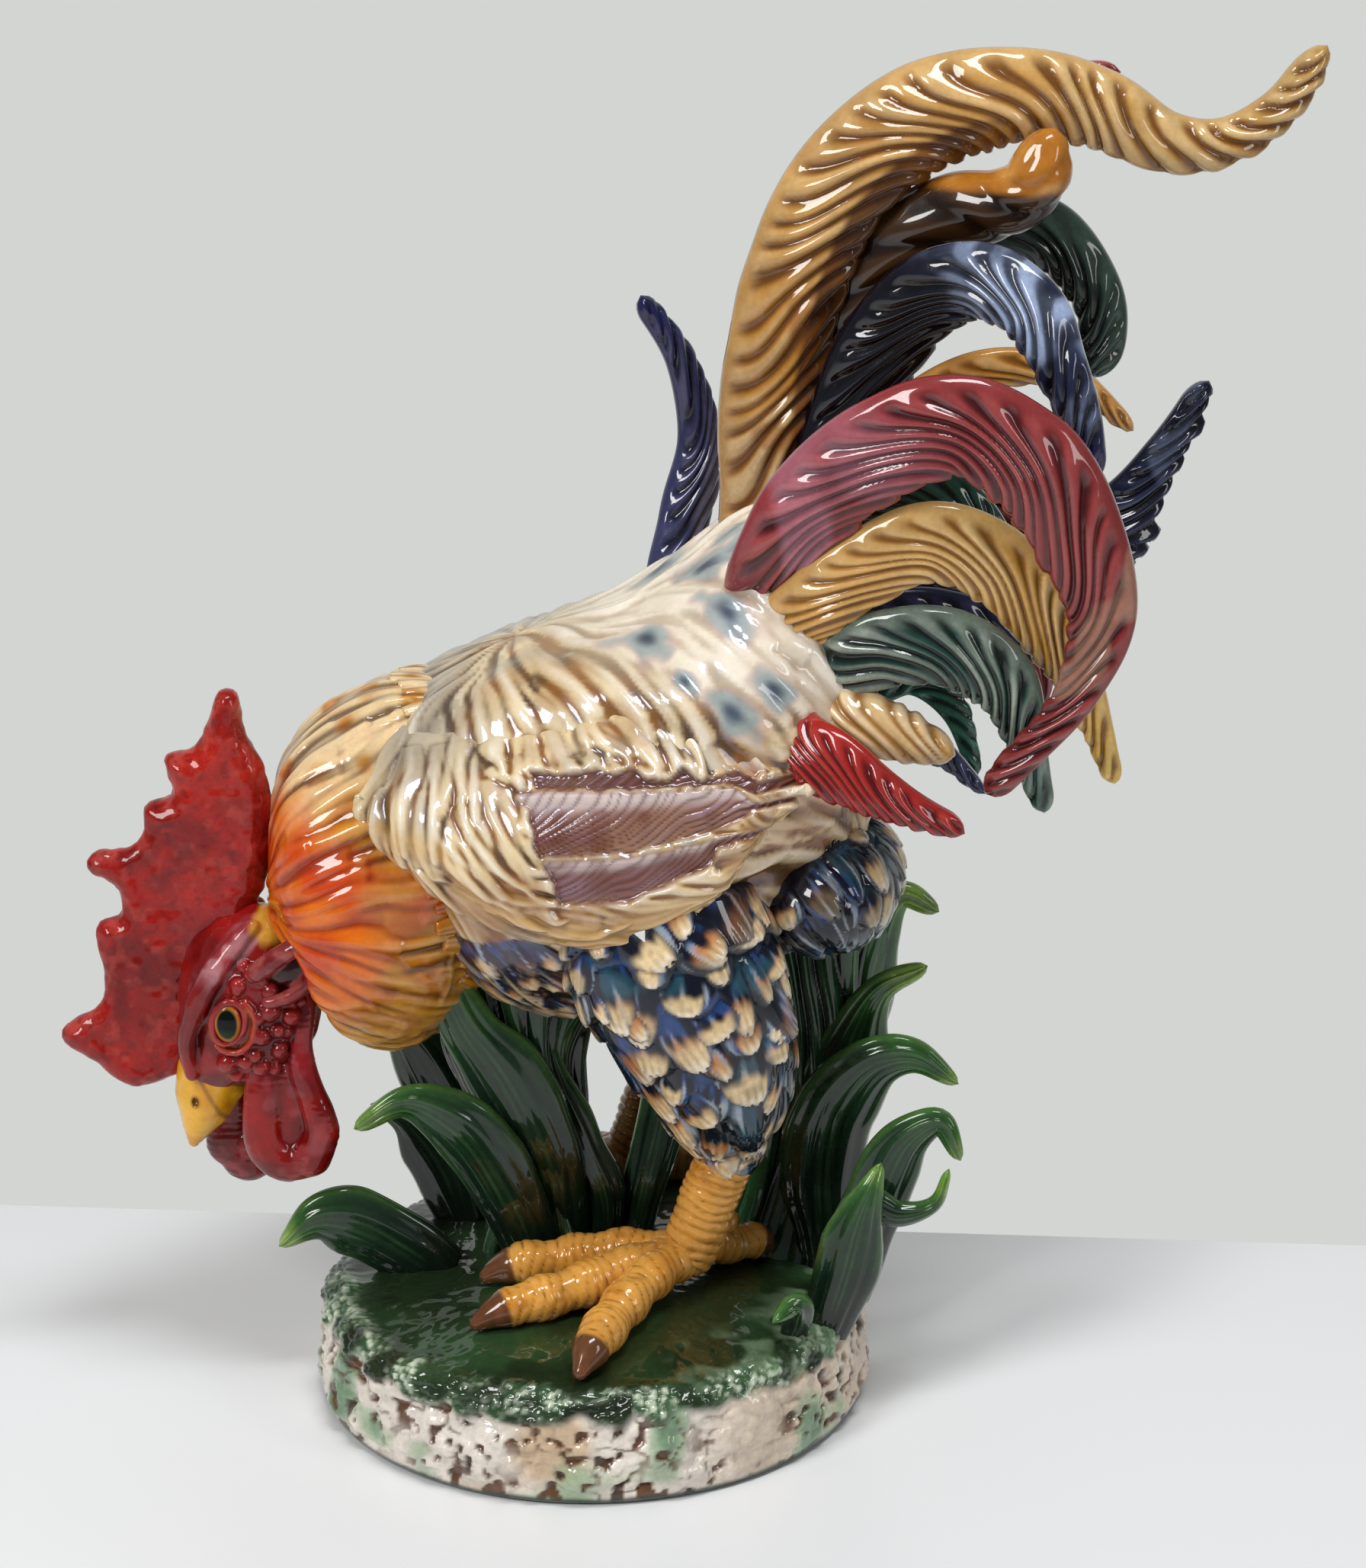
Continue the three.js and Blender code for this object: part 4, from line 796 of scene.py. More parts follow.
def mound():
    """The hollow mound: a chalky, pitted wall under a grassy top."""
    radius, height, crown, shoulder = MOUND_RADIUS, GROUND, MOUND_CROWN, 11.0
    rim = height - crown
    outer = [(106.9, 0.0), (110.0, 0.0), (radius - 3, 0.0), (radius - 0.9, 0.9), (radius, 3.0),
             (radius + 2, rim * 0.4), (radius, rim * 0.75),
             (radius - shoulder * 0.4, rim * 0.95), (radius - shoulder, rim + 1.5),
             (radius * 0.75, height - crown * 0.56), (radius * 0.45, height - crown * 0.2),
             (radius * 0.2, height - 0.4), (0.6, height)]
    outer = np.array(outer)
    run = run_along(outer)
    rows, around = 142, 560
    wall_end = run[8]
    dense = int(rows * 0.6)
    at = np.concatenate([np.linspace(0, wall_end, dense, endpoint=False),
                         np.linspace(wall_end, run[-1], rows - dense)])
    r = np.interp(at, run, outer[:, 0])
    z = np.interp(at, run, outer[:, 1])
    for _ in range(3):
        for values in (r, z):
            values[3:-1] = (values[2:-2] + 2 * values[3:-1] + values[4:]) / 4
    turn = turns(around)
    points = spun(r, z, turn)
    normals = grid_normals(points)
    up = normals[..., 2]
    if up[-10].mean() < 0:
        normals = -normals
    height_at = points[..., 2]
    edge = 38 + 4.5 * noise(points, 30.0, 71) + 4 * noise(points, 8.0, 72)
    rock = 1 - smooth(height_at - edge, -2.5, 2.5)
    reach = np.hypot(points[..., 0], points[..., 1] - MOUND_Y)
    fringe = smooth(height_at - edge, -2.0, 2.0) * smooth(reach + 7 * noise(points, 16.0, 73), 101, 112)
    fall = crag_fall(points)
    grit1, _, grit_id = cells(points, 2.9, 76)
    crinkle = (np.abs(noise(points, 15.0, 74)) + 0.7 * np.abs(noise(points, 7.0, 75))
               + 0.35 * np.abs(noise(points, 3.4, 94)))
    east = smooth(points[..., 0], 40, 75)
    clustered = smooth(noise(points, 24.0, 79) - 0.5 * east, -0.95, -0.35)
    pit = smooth(noise(points, 4.8, 77) + 0.6 * noise(points, 3.0, 78), 0.22, 0.44) * clustered
    crack = 1 - smooth(np.abs(noise(points, 12.0, 95) + 0.4 * noise(points, 5.0, 96)), 0.02, 0.1)
    crack = crack * clouds(points, 17.0, 97, -0.3, 0.2) * (1 - 0.7 * east)
    low = smooth(height_at, 3.0, 9.0)
    stone = (3.2 * (crinkle - 0.5) - 1.7 * pit - 1.0 * crack + 0.6 * noise(points, 20.0, 80)) * low - 3.4 * fall + 0.4
    moss = 1.3 * smooth(0.75 - grit1, 0.0, 0.5) + 1.4 * noise(points, 10.0, 81)
    turf = (0.8 * noise(points, 30.0, 82) + 0.5 * noise(points * np.array([1, 0.35, 1]), 7.0, 83)
            + 0.3 * noise(points, 3.2, 84))
    push = stone * rock + (moss * fringe + turf * (1 - fringe)) * (1 - rock)
    push = push * smooth(height_at, 0.3, 3.0)
    points = points + normals * push[..., None]
    chalk = between("#eae0d4", "#cdb394", np.clip(clouds(points, 38.0, 84, 0.2, 0.7) + 0.6 * east, 0, 1))
    chalk = tint(chalk, "#9fb795", clouds(points, 20.0, 85, 0.1, 0.4) * 0.85)
    chalk = tint(chalk, "#5f8766", clouds(points, 20.0, 85, 0.38, 0.7) * 0.7)
    brown = between("#6a4222", "#3a2413", clouds(points, 9.0, 86, 0, 0.5))
    stain = np.clip(0.95 * pit + 0.6 * crack + 0.25 * smooth(0.3 - crinkle, 0, 0.2)
                    * clouds(points, 12.0, 87, -0.1, 0.4), 0, 1)
    chalk = mix(chalk, brown, stain)
    # Painted shadow: a dark green band round the foot of the mound, where it meets the table.
    foot_contact_shadow = 1 - smooth(height_at + 0.8 * noise(points, 14.0, 88), 2.4, 4.6)
    chalk = tint(chalk, "#1f3b2b", foot_contact_shadow * 0.95)
    green = between("#1f2f19", "#2d4a2a", clouds(points, 26.0, 89, -0.3, 0.5))
    green = tint(green, "#141f10", clouds(points, 12.0, 90, 0.2, 0.6) * 0.6)
    grains = between("#3a5c3a", "#ccd8bf", smooth(grit_id, 0.2, 0.75) * smooth(0.75 - grit1, 0, 0.4))
    green = mix(green, grains, fringe * clouds(points, 9.0, 92, -0.4, 0.25))
    dusting = smooth(points[..., 0] + 10 * noise(points, 12.0, 98), 20, 60)
    green = tint(green, "#7f9a78", 0.5 * dusting * clouds(points, 7.0, 99, 0.0, 0.5) * smooth(reach, 70, 95))
    colour = mix(green, chalk, rock)
    deep = np.clip(stain * rock * 0.5 + 0.5 * fringe * smooth(grit1, 0.5, 0.8) * (1 - rock), 0, 1)
    inside = [(106.9, 0.0), (107.0, 6.0), (107.0, 24.0), (103.0, 32.0), (96.0, 37.0), (60.0, 42.0), (20.0, 44.6),
              (0.6, 45.0)]
    inside = np.array(inside)
    run2 = run_along(inside)
    at2 = np.linspace(0, run2[-1], 28)
    r2 = np.interp(at2, run2, inside[:, 0])[::-1]
    z2 = np.interp(at2, run2, inside[:, 1])[::-1]
    inner = spun(r2, z2, turn)[:-1]
    clay = between("#cbb494", "#b59a78", clouds(inner, 30.0, 93, -0.2, 0.5))
    everything = np.concatenate([inner, points])
    colour = np.concatenate([clay, colour])
    deep = np.concatenate([inner[..., 0] * 0, deep])
    emit("base_mound_looks", [close_ends(everything, colour, deep)], MOUND_GLAZE, ("base_mound",))


# Carved skins: closed grids, and overlapping strands and scales pressed into them

def section_grid(pairs, rows, around, lean=0.0, dome=(8, 8)):
    """A closed skin through sections [side a, side b, half width, y], with domed ends."""
    table = np.array([[*a, *b, half, y] for a, b, half, y in pairs], float)
    line = path(table, rows)[0]
    a, b, half, y = line[:, 0:2], line[:, 2:4], line[:, 4], line[:, 5]
    mid, reach = (a + b) / 2, (a - b) / 2
    first, last = mid[0] - mid[3], mid[-1] - mid[-4]
    steps = 14
    turn = np.linspace(np.pi / 2, 0, steps + 1)[:-1]
    close, rise = np.maximum(np.cos(turn), 0.02), np.sin(turn)
    head = mid[0] + (first / np.linalg.norm(first)) * (dome[0] * rise)[:, None]
    foot = (mid[-1] + (last / np.linalg.norm(last)) * (dome[1] * rise)[:, None])[::-1]
    mid = np.concatenate([head, mid, foot])
    reach = np.concatenate([reach[0] * close[:, None], reach, (reach[-1] * close[:, None])[::-1]])
    half = np.concatenate([half[0] * close, half, (half[-1] * close)[::-1]])
    y = np.concatenate([np.full(steps, y[0]), y, np.full(steps, y[-1])])
    tilt = np.concatenate([close, np.ones(rows), close[::-1]]) * lean
    angle = turns(around)
    cos, sin = np.cos(angle), np.sin(angle)
    points = np.stack([mid[:, 0:1] + reach[:, 0:1] * cos, y[:, None] + half[:, None] * sin + tilt[:, None] * cos,
                       mid[:, 1:2] + reach[:, 1:2] * cos], -1)
    return bird(points)


def soften(values, reach):
    """A box average over a grid that wraps round its second axis."""
    padded = np.concatenate([np.repeat(values[:1], reach, 0), values, np.repeat(values[-1:], reach, 0)])
    run = np.cumsum(np.concatenate([np.zeros_like(padded[:1]), padded]), 0)
    values = (run[2 * reach + 1:] - run[:-2 * reach - 1]) / (2 * reach + 1)
    padded = np.concatenate([values[:, -reach:], values, values[:, :reach]], 1)
    run = np.cumsum(np.concatenate([np.zeros_like(padded[:, :1]), padded], 1), 1)
    return (run[:, 2 * reach + 1:] - run[:, :-2 * reach - 1]) / (2 * reach + 1)


GROOVE_REACH = 3  # grid cells over which the level round a groove is taken
GROOVE_DEPTH = 0.9  # depth in mm at which a groove counts as full


class Skin:
    """A grid of skin with a flow over it, into which strands and scales are pressed."""

    def __init__(self, points, guides, spread=16.0, sway=0.0):
        self.points, self.shape = points, points.shape[:2]
        self.normals = grid_normals(points)
        self.local = points - BIRD_AT
        x, z = self.local[..., 0], self.local[..., 2]
        if callable(guides):
            flow = guides(self.local)
        else:
            total = np.zeros(self.shape + (3,))
            for gx, gz, dx, dz in guides:
                weight = 1 / ((x - gx) ** 2 + (z - gz) ** 2 + spread ** 2) ** 1.5
                size = math.hypot(dx, dz)
                total += weight[..., None] * np.array([dx / size, 0, dz / size])
            flow = total
        flow = flow - self.normals * np.sum(flow * self.normals, -1, keepdims=True)
        flow = flow / np.maximum(np.linalg.norm(flow, axis=-1, keepdims=True), 1e-6)
        side = np.cross(self.normals, flow)
        drift = sway * noise(self.local, 34.0, 198) + 0.7 * sway * noise(self.local, 17.0, 199)
        flow = flow + side * drift[..., None]
        self.flow = flow / np.linalg.norm(flow, axis=-1, keepdims=True)
        self.side = np.cross(self.normals, self.flow)
        self.height = np.zeros(self.shape)
        self.u = np.zeros(self.shape)
        self.v = np.zeros(self.shape)
        self.mark = np.zeros(self.shape)

    def streaks(self, seed, size, reach):
        """Noise drawn out along the flow: long strands from -1 to 1."""
        along = np.gradient(self.points, axis=0)
        around = (np.roll(self.points, -1, 1) - np.roll(self.points, 1, 1)) / 2
        flow = self.flow
        aa, bb, ab = (np.sum(p * q, -1) for p, q in ((along, along), (around, around), (along, around)))
        fa, fb = np.sum(flow * along, -1), np.sum(flow * around, -1)
        det = np.maximum(aa * bb - ab * ab, 1e-4)
        go = np.stack([(fa * bb - fb * ab) / det, (fb * aa - fa * ab) / det], -1)
        go = np.clip(go, -3, 3)
        field = np.concatenate([go, noise(self.local, size, seed)[..., None]], -1)
        rows, columns = self.shape

        def sample(i, j):
            i = np.clip(i, 0, rows - 1.001)
            i0, j0 = np.floor(i).astype(int), np.floor(j).astype(int)
            di, dj = (i - i0)[..., None], (j - j0)[..., None]
            a, b = j0 % columns, (j0 + 1) % columns
            return ((field[i0, a] * (1 - dj) + field[i0, b] * dj) * (1 - di)
                    + (field[i0 + 1, a] * (1 - dj) + field[i0 + 1, b] * dj) * di)

        step = 1.6
        total, weight = field[..., 2].copy(), 1.0
        for way in (1, -1):
            i, j = np.meshgrid(np.arange(rows) + 0.0, np.arange(columns) + 0.0, indexing="ij")
            for k in range(int(reach / step)):
                value = sample(i, j)
                i, j = i + way * step * value[..., 0], j + way * step * value[..., 1]
                share = 1 - (k + 1) / (reach / step + 1)
                total += share * sample(i, j)[..., 2]
                weight += share
        total /= weight
        return np.clip(total / max(total.std() * 2.0, 1e-6), -1.3, 1.3)

    def seats(self, keep, along, across, seed, tries=9000):
        rng = np.random.default_rng(seed)
        p, f, s, n = (g.reshape(-1, 3) for g in (self.points, self.flow, self.side, self.normals))
        cell = np.linalg.norm(np.cross(np.gradient(self.points, axis=0), np.gradient(self.points, axis=1)), axis=-1)
        weight = (cell * keep).ravel()
        order = rng.choice(len(weight), size=min(tries, int((weight > 0).sum())), replace=False,
                           p=weight / weight.sum())
        chosen = []
        for k in order:
            if chosen:
                away = p[chosen] - p[k]
                gap = (away @ f[k] / along) ** 2 + (away @ s[k] / across) ** 2 + (away @ n[k] / across) ** 2
                if gap.min() < 1:
                    continue
            chosen.append(k)
        return chosen

    def press(self, seats, length, width, height, kind="lock", vary=0.3, wave=0.0, ribs=2.5, seed=1,
              limit=None):
        """Presses one strand or scale in at each seat; limit(local) says how long each may be."""
        rng = np.random.default_rng(seed)
        p, n = self.points.reshape(-1, 3), self.normals.reshape(-1, 3)
        f, s, loc = self.flow.reshape(-1, 3), self.side.reshape(-1, 3), self.local.reshape(-1, 3)
        tall, u_all, v_all, marks = (g.reshape(-1) for g in (self.height, self.u, self.v, self.mark))
        for k in seats:
            r = rng.random(6)
            long = length * (1 + vary * (r[0] - 0.5) * 2)
            go, turn = f[k], s[k]
            if kind == "scale":
                angle = (r[5] - 0.5) * 0.9
                go, turn = go * math.cos(angle) + turn * math.sin(angle), turn * math.cos(angle) - go * math.sin(angle)
            if limit:
                long = min(long, limit(loc[k]))
            if long < 4:
                continue
            wide = width * (1 + 0.7 * vary * (r[1] - 0.5) * 2)
            near = np.flatnonzero(np.abs(p - p[k]).max(1) < long * 1.05 + 2)
            rel = p[near] - p[k]
            t, c, up = rel @ go, rel @ turn, rel @ n[k]
            middle = near[np.argmin((t - long * 0.5) ** 2 + c ** 2 + 0.5 * up ** 2)]
            bend = np.clip((f[middle] @ s[k]) / (long * 0.5), -0.03, 0.03) * (kind == "lock")
            u = t / long
            c = c - 0.5 * bend * t * t - wave * np.sin(2 * np.pi * (0.95 * u + r[2])) * smooth(u, 0, 0.35)
            if kind == "lock":
                half = wide * (1 - np.clip((u - 0.25) / 0.75, 0, 1) ** 1.15) * (0.55 + 0.45 * smooth(u, -0.05, 0.3))
            else:
                half = wide * (0.8 + 0.5 * r[4]) * np.where(u < 0.5, 0.75 + 0.25 * smooth(u, -0.1, 0.5),
                                       np.sqrt(np.maximum(1 - ((u - 0.5) / 0.5) ** 2, 0)) ** 0.9)
            v = c / np.maximum(half, 0.05)
            if kind == "scale":
                u = u + 0.07 * np.sin(c * 1.9 + 6 * r[2]) * smooth(u, 0.5, 0.8)
            on = (u > 0) & (u < 1) & (np.abs(v) < 1) & (np.abs(up) < 17)
            edge = np.clip(1 - np.abs(v) ** 2.2, 0, 1) ** 0.75
            rise = 0.15 + 0.85 * np.clip(u, 0, 1) ** 0.8
            lines = 0.5 - 0.5 * np.cos(2 * np.pi * (ribs * 0.5 * (v + 0.25 * np.sin(3 * u + 6 * r[3])) + r[4]))
            h = height * (0.8 + 0.4 * r[5]) * rise * edge * (1 - 0.22 * lines * (kind == "lock"))
            won = on & (h > tall[near])
            i = near[won]
            tall[i], u_all[i], v_all[i], marks[i] = h[won], u[won], v[won], r[2]
        self.height = tall.reshape(self.shape)

    def carve(self, seed, on, fine):
        """Carves fine strands along the flow over the pressed ones."""
        thin = self.streaks(seed, 3.4, 34)
        self.strand = 0.5 + 0.5 * thin
        self.height = soften(self.height, 1) + on * fine * thin

    def finish(self, sink):
        """Raises the skin and works out where its grooves lie."""
        level = soften(self.height, GROOVE_REACH)
        self.hollow = np.clip((level - self.height) / GROOVE_DEPTH, 0, 1)
        self.crest = np.clip((self.height - level) / GROOVE_DEPTH, 0, 1)
        self.points = self.points + self.normals * (self.height - sink)[..., None]


# Blue spots on the back: (x, z, y, size)
SPOTS = [(43, 216, -25, 9), (66, 221, -25, 10), (20, 192, -50, 10), (58, 196, -50, 10), (60, 161, -75, 9),
         (79, 171, -72, 8), (38, 178, -75, 6), (49, 238, -18, 9), (20, 212, 8, 8), (62, 230, 14, 9), (44, 205, 38, 9),
         (72, 208, 42, 9), (18, 190, 52, 9), (58, 163, 75, 9), (77, 173, 72, 8)]
SPOT_SCALE = 0.82


def near_spot(local, flow, side):
    """How close the skin is to the nearest blue spot: 1 at its middle."""
    best = np.zeros(local.shape[:-1])
    for x, z, y, size in SPOTS:
        size = size * SPOT_SCALE
        d = local - np.array([x, y, z])
        a, b = np.sum(d * flow, -1) / (size * 1.2), np.sum(d * side, -1) / (size * 0.62)
        away = np.sqrt(a * a + b * b + (np.abs(d[..., 1]) > 45) * 9)
        away = away * (1 + 0.35 * noise(local, 6.0, 211))
        best = np.maximum(best, 1 - away / 2.2)
    return best


def plumage(skin, local):
    """Cream strands with painted amber shade in the grooves, painted highlights on the crests and painted light over
    the back; grey at the shoulder and blue spots over the saddle.
    """
    x, z = local[..., 0], local[..., 2]
    tone = noise(local, 24.0, 201)
    # Painted light: the back and saddle are painted whiter, as lit from above, and the amber shade is paler there.
    back = smooth(z + 0.25 * x, 164, 190)
    colour = between("#ebd3a4", "#cfae7c", smooth(tone + 0.5 * skin.mark, 0.2, 0.8) * (1 - 0.8 * back))
    colour = tint(colour, "#f6ecda", back * 0.85)
    colour = tint(colour, "#c9a266", (0.25 + 0.75 * smooth(x, 60, 100)) * clouds(local, 18.0, 206, -0.3, 0.4)
                 * 0.35 * (1 - 0.85 * back))
    shoulder = smooth(-x, 28, 74) * smooth(z, 108, 150)
    colour = tint(colour, "#a39c90", shoulder * 0.8)
    low = smooth(118 - z + 0.25 * x + 12 * noise(local, 20.0, 207), -10, 30) * smooth(-x, -60, 0)
    colour = tint(colour, "#ad8140", low * 0.85)
    # Painted highlights: whiter on the crests of the locks and strands.
    colour = tint(colour, "#f6eedd", np.clip(skin.crest * 0.6 + 0.5 * smooth(skin.strand, 0.62, 0.9), 0, 1) * 0.75)
    amber = between("#8f5c1a", "#563911", clouds(local, 12.0, 202, -0.2, 0.4))
    amber = tint(amber, "#514a3f", shoulder * 0.9)
    amber = tint(amber, "#b89c74", back * 0.75)
    # Painted shade: amber in the grooves, between the strands, along one flank and at the root of each lock, less over
    # the back.
    flank = smooth(skin.v + 0.5 * noise(local, 8.0, 208), 0.15, 0.95) * smooth(skin.height, 0.3, 1.5)
    amber_shade = np.clip(skin.hollow * 1.6 + 0.5 * smooth(0.4 - skin.strand, 0, 0.3) + 0.42 * flank * smooth(tone, -0.6, 0.3)
                   + 0.3 * (1 - smooth(skin.u, 0.05, 0.5)) * (skin.height > 0), 0, 1)
    colour = mix(colour, amber, amber_shade * (0.95 - 0.55 * back))
    close = near_spot(local, skin.flow, skin.side)
    colour = tint(colour, "#dcb3a4", smooth(close, 0.02, 0.3) * 0.55)
    colour = tint(colour, "#8ea6a6", smooth(close, 0.1, 0.5) * 0.8)
    colour = mix(colour, between("#2a3f52", "#34425e", smooth(tone, -0.2, 0.3)), smooth(close, 0.5, 0.95) * 0.88)
    return colour


def scale_paint(skin, local, seed=0, bare=0.12):
    """Navy and cobalt scales, each with a peach and cream tongue."""
    u, v, mark = np.clip(skin.u, 0, 1), skin.v, skin.mark
    streak = noise(np.stack([v * 9 + mark * 50, u * 2.2, mark * 90], -1), 1.6, 221 + seed)
    colour = between("#0a1020", "#234278", smooth(streak + noise(local, 9.0, 222), 0.1, 0.7))
    colour = tint(colour, "#2f5f70", smooth(noise(local, 14.0, 223) + 0.3 * streak, 0.25, 0.6) * 0.55)
    # Painted highlights: pale streaks on the scales as glints.
    colour = tint(colour, "#cbd5da", smooth(streak, 0.25, 0.6) * 0.55 * smooth(u, 0.1, 0.5))
    off = np.abs(v + 0.5 * (mark - 0.5)) + 0.22 * streak
    tongue = smooth(u + 0.12 * streak, 0.38, 0.6) * (1 - smooth(off, 0.34, 0.74))
    tongue = tongue * smooth(mark, bare, bare + 0.12)
    warm = between("#c07a42", "#e6cb9c", smooth(u + 0.5 * (mark - 0.5), 0.4, 0.8))
    warm = tint(warm, "#f1e6d6", smooth(u, 0.78, 0.95))
    warm = tint(warm, "#a8926a", clouds(local, 4.0, 224, 0.15, 0.6) * 0.5)
    colour = mix(colour, warm, tongue)
    # Painted shade: dark navy in the grooves between the scales.
    return tint(colour, "#0a1020", np.clip(skin.hollow * 1.3, 0, 1) * 0.9)


FLOW = [
    (-88, 150, -0.2, -1), (-86, 132, 0.15, -1), (-76, 112, 0.55, -0.85), (-56, 92, 0.85, -0.55), (-30, 79, 0.97, -0.25),
    (0, 73, 1, 0.02), (35, 80, 0.95, 0.3), (66, 102, 0.8, 0.5), (-72, 178, -0.45, -0.9), (-60, 165, -0.1, -1),
    (-66, 140, 0.1, -1), (-50, 176, 0.2, -1), (-45, 150, 0.2, -1), (-46, 122, 0.35, -0.95), (-20, 170, 0.4, -0.92),
    (-20, 145, 0.2, -1), (10, 168, 0.4, -0.92), (10, 145, 0.2, -1), (40, 165, 0.45, -0.9), (40, 145, 0.3, -0.95),
    (66, 162, 0.6, -0.8), (62, 140, 0.5, -0.85), (84, 150, 0.75, -0.65), (-55, 205, 0.8, -0.5), (-20, 205, 0.8, -0.5),
    (-70, 195, 0.3, -0.7), (20, 200, 0.75, -0.6), (10, 222, 0.95, -0.15), (45, 212, 0.9, -0.35), (45, 240, 0.9, 0.4),
    (70, 235, 1, 0.15), (72, 190, 0.65, -0.75), (98, 195, 0.75, -0.65), (100, 170, 0.7, -0.7), (92, 135, 0.7, -0.7),
    (75, 118, 0.8, -0.5), (60, 60, 0.6, -0.8), (20, 50, 0.5, -0.85), (-30, 45, 0.4, -0.9), (-60, 60, 0.3, -0.95),
]

TORSO = [([-90, 120], [-88, 80], .34), ([-78, 147], [-80, 56], .63), ([-54, 164], [-62, 34], .83),
         ([-22, 177], [-34, 10], .95), ([14, 189], [8, 4], 1), ([42, 208], [50, 16], .98), ([66, 225], [86, 34], .88),
         ([84, 229], [112, 66], .7), ([96, 218], [122, 116], .49), ([103, 202], [114, 162], .22)]
NECK = [([-66, 150], [-44, 30], .9, 0), ([-84, 153], [-54, 10], 1, -3), ([-108, 143], [-74, -8], 1, -8),
        ([-128, 125], [-94, -6], .87, -15), ([-136, 92], [-106, 8], .69, -21), ([-136, 60], [-106, 24], .42, -25),
        ([-130, 44], [-108, 34], .2, -27)]
WING = [([-94, 128], [-92, 108], .5, 30), ([-82, 142], [-80, 96], .85, 22), ([-54, 147], [-54, 80], .95, 9),
        ([-15, 155], [-16, 69], 1, 2), ([20, 163], [18, 69], 1, 0), ([52, 160], [50, 85], .95, 3),
        ([74, 150], [70, 108], .8, 9), ([92, 140], [88, 126], .4, 17)]
THIGH = [([-8, 84], [70, 84], .9, -5), ([-12, 60], [78, 62], 1, -1), ([-4, 30], [84, 30], .95, 1),
         ([14, 2], [86, 6], .8, 0), ([34, -28], [82, -20], .55, -3), ([46, -40], [74, -34], .35, -5)]


def torso():
    """The torso: long locks above and blue scales on the belly."""
    points = section_grid([(a, b, share * 82, 0) for a, b, share in TORSO], 190, 430, dome=(6, 10))
    local = points - BIRD_AT
    crest = np.interp(local[..., 0], [-90, -54, -15, 20, 52, 92], [132, 147, 155, 163, 160, 140])
    over = local[..., 2] - crest
    swell = 3.0 * smooth(over, -12, 4) * (1 - smooth(over, 6, 42)) * smooth(local[..., 0], -92, -70) * (
        1 - smooth(local[..., 0], 60, 92)) * smooth(np.abs(local[..., 1]), 20, 40)
    skin = Skin(points + grid_normals(points) * swell[..., None], FLOW, sway=0.45)
    local = skin.local
    x, z = local[..., 0], local[..., 2]
    belly = 1 - smooth(z - 0.12 * x + 5 * noise(local, 14.0, 231), 60, 66)
    skin.press(skin.seats(belly < 0.5, 25, 8.0, 5), 64, 8.2, 4.5, wave=2.8, seed=6, ribs=3)
    skin.carve(500, belly < 0.5, 1.1)
    skin.press(skin.seats((belly > 0.5) & (x < 96), 11.5, 10.5, 7), 19, 8.2, 3.0, kind="scale", seed=8)
    skin.finish(sink=1.4)
    colour = mix(plumage(skin, local), scale_paint(skin, local), smooth(belly, 0.4, 0.6))
    emit("body_plumage", [close_ends(skin.points, colour, skin.hollow)], CREAM_GLAZE, ("body_casting",))


# The wing's brown panels: upper curve, lower curve, left end and its slant
WING_PANELS = [
    ([(-28, 129), (-14, 131), (17, 132), (58, 133), (72, 126)],
     [(-20, 106), (17, 109), (58, 118), (72, 124)], -28, 0.45),
    ([(-14, 105), (17, 107), (60, 115)], [(-10, 86), (17, 88), (49, 102), (60, 112)], -15, 0.35),
    ([(-24, 141), (58, 144), (70, 134)], [(-24, 131), (17, 133), (58, 134.5), (70, 130)], -24, 0.45),
]
WING_COLUMNS = 330
WING_TUCK = 11.5  # how far the wing's top edge is sunk into the torso, so that the join doesn't show


def panel(x, z, top, bottom, left, slant):
    """1 inside a long panel, with its upper curve and the share of the way down it."""
    up = np.interp(x, [p[0] for p in top], [p[1] for p in top])
    down = np.interp(x, [p[0] for p in bottom], [p[1] for p in bottom])
    soft = 1.2
    inside = smooth(up - z, -soft, soft) * smooth(z - down, -soft, soft)
    deep = np.clip((up - z) / np.maximum(up - down, 2), 0, 1)
    return inside * smooth(x - left - slant * (up - z), -soft, soft), up, deep


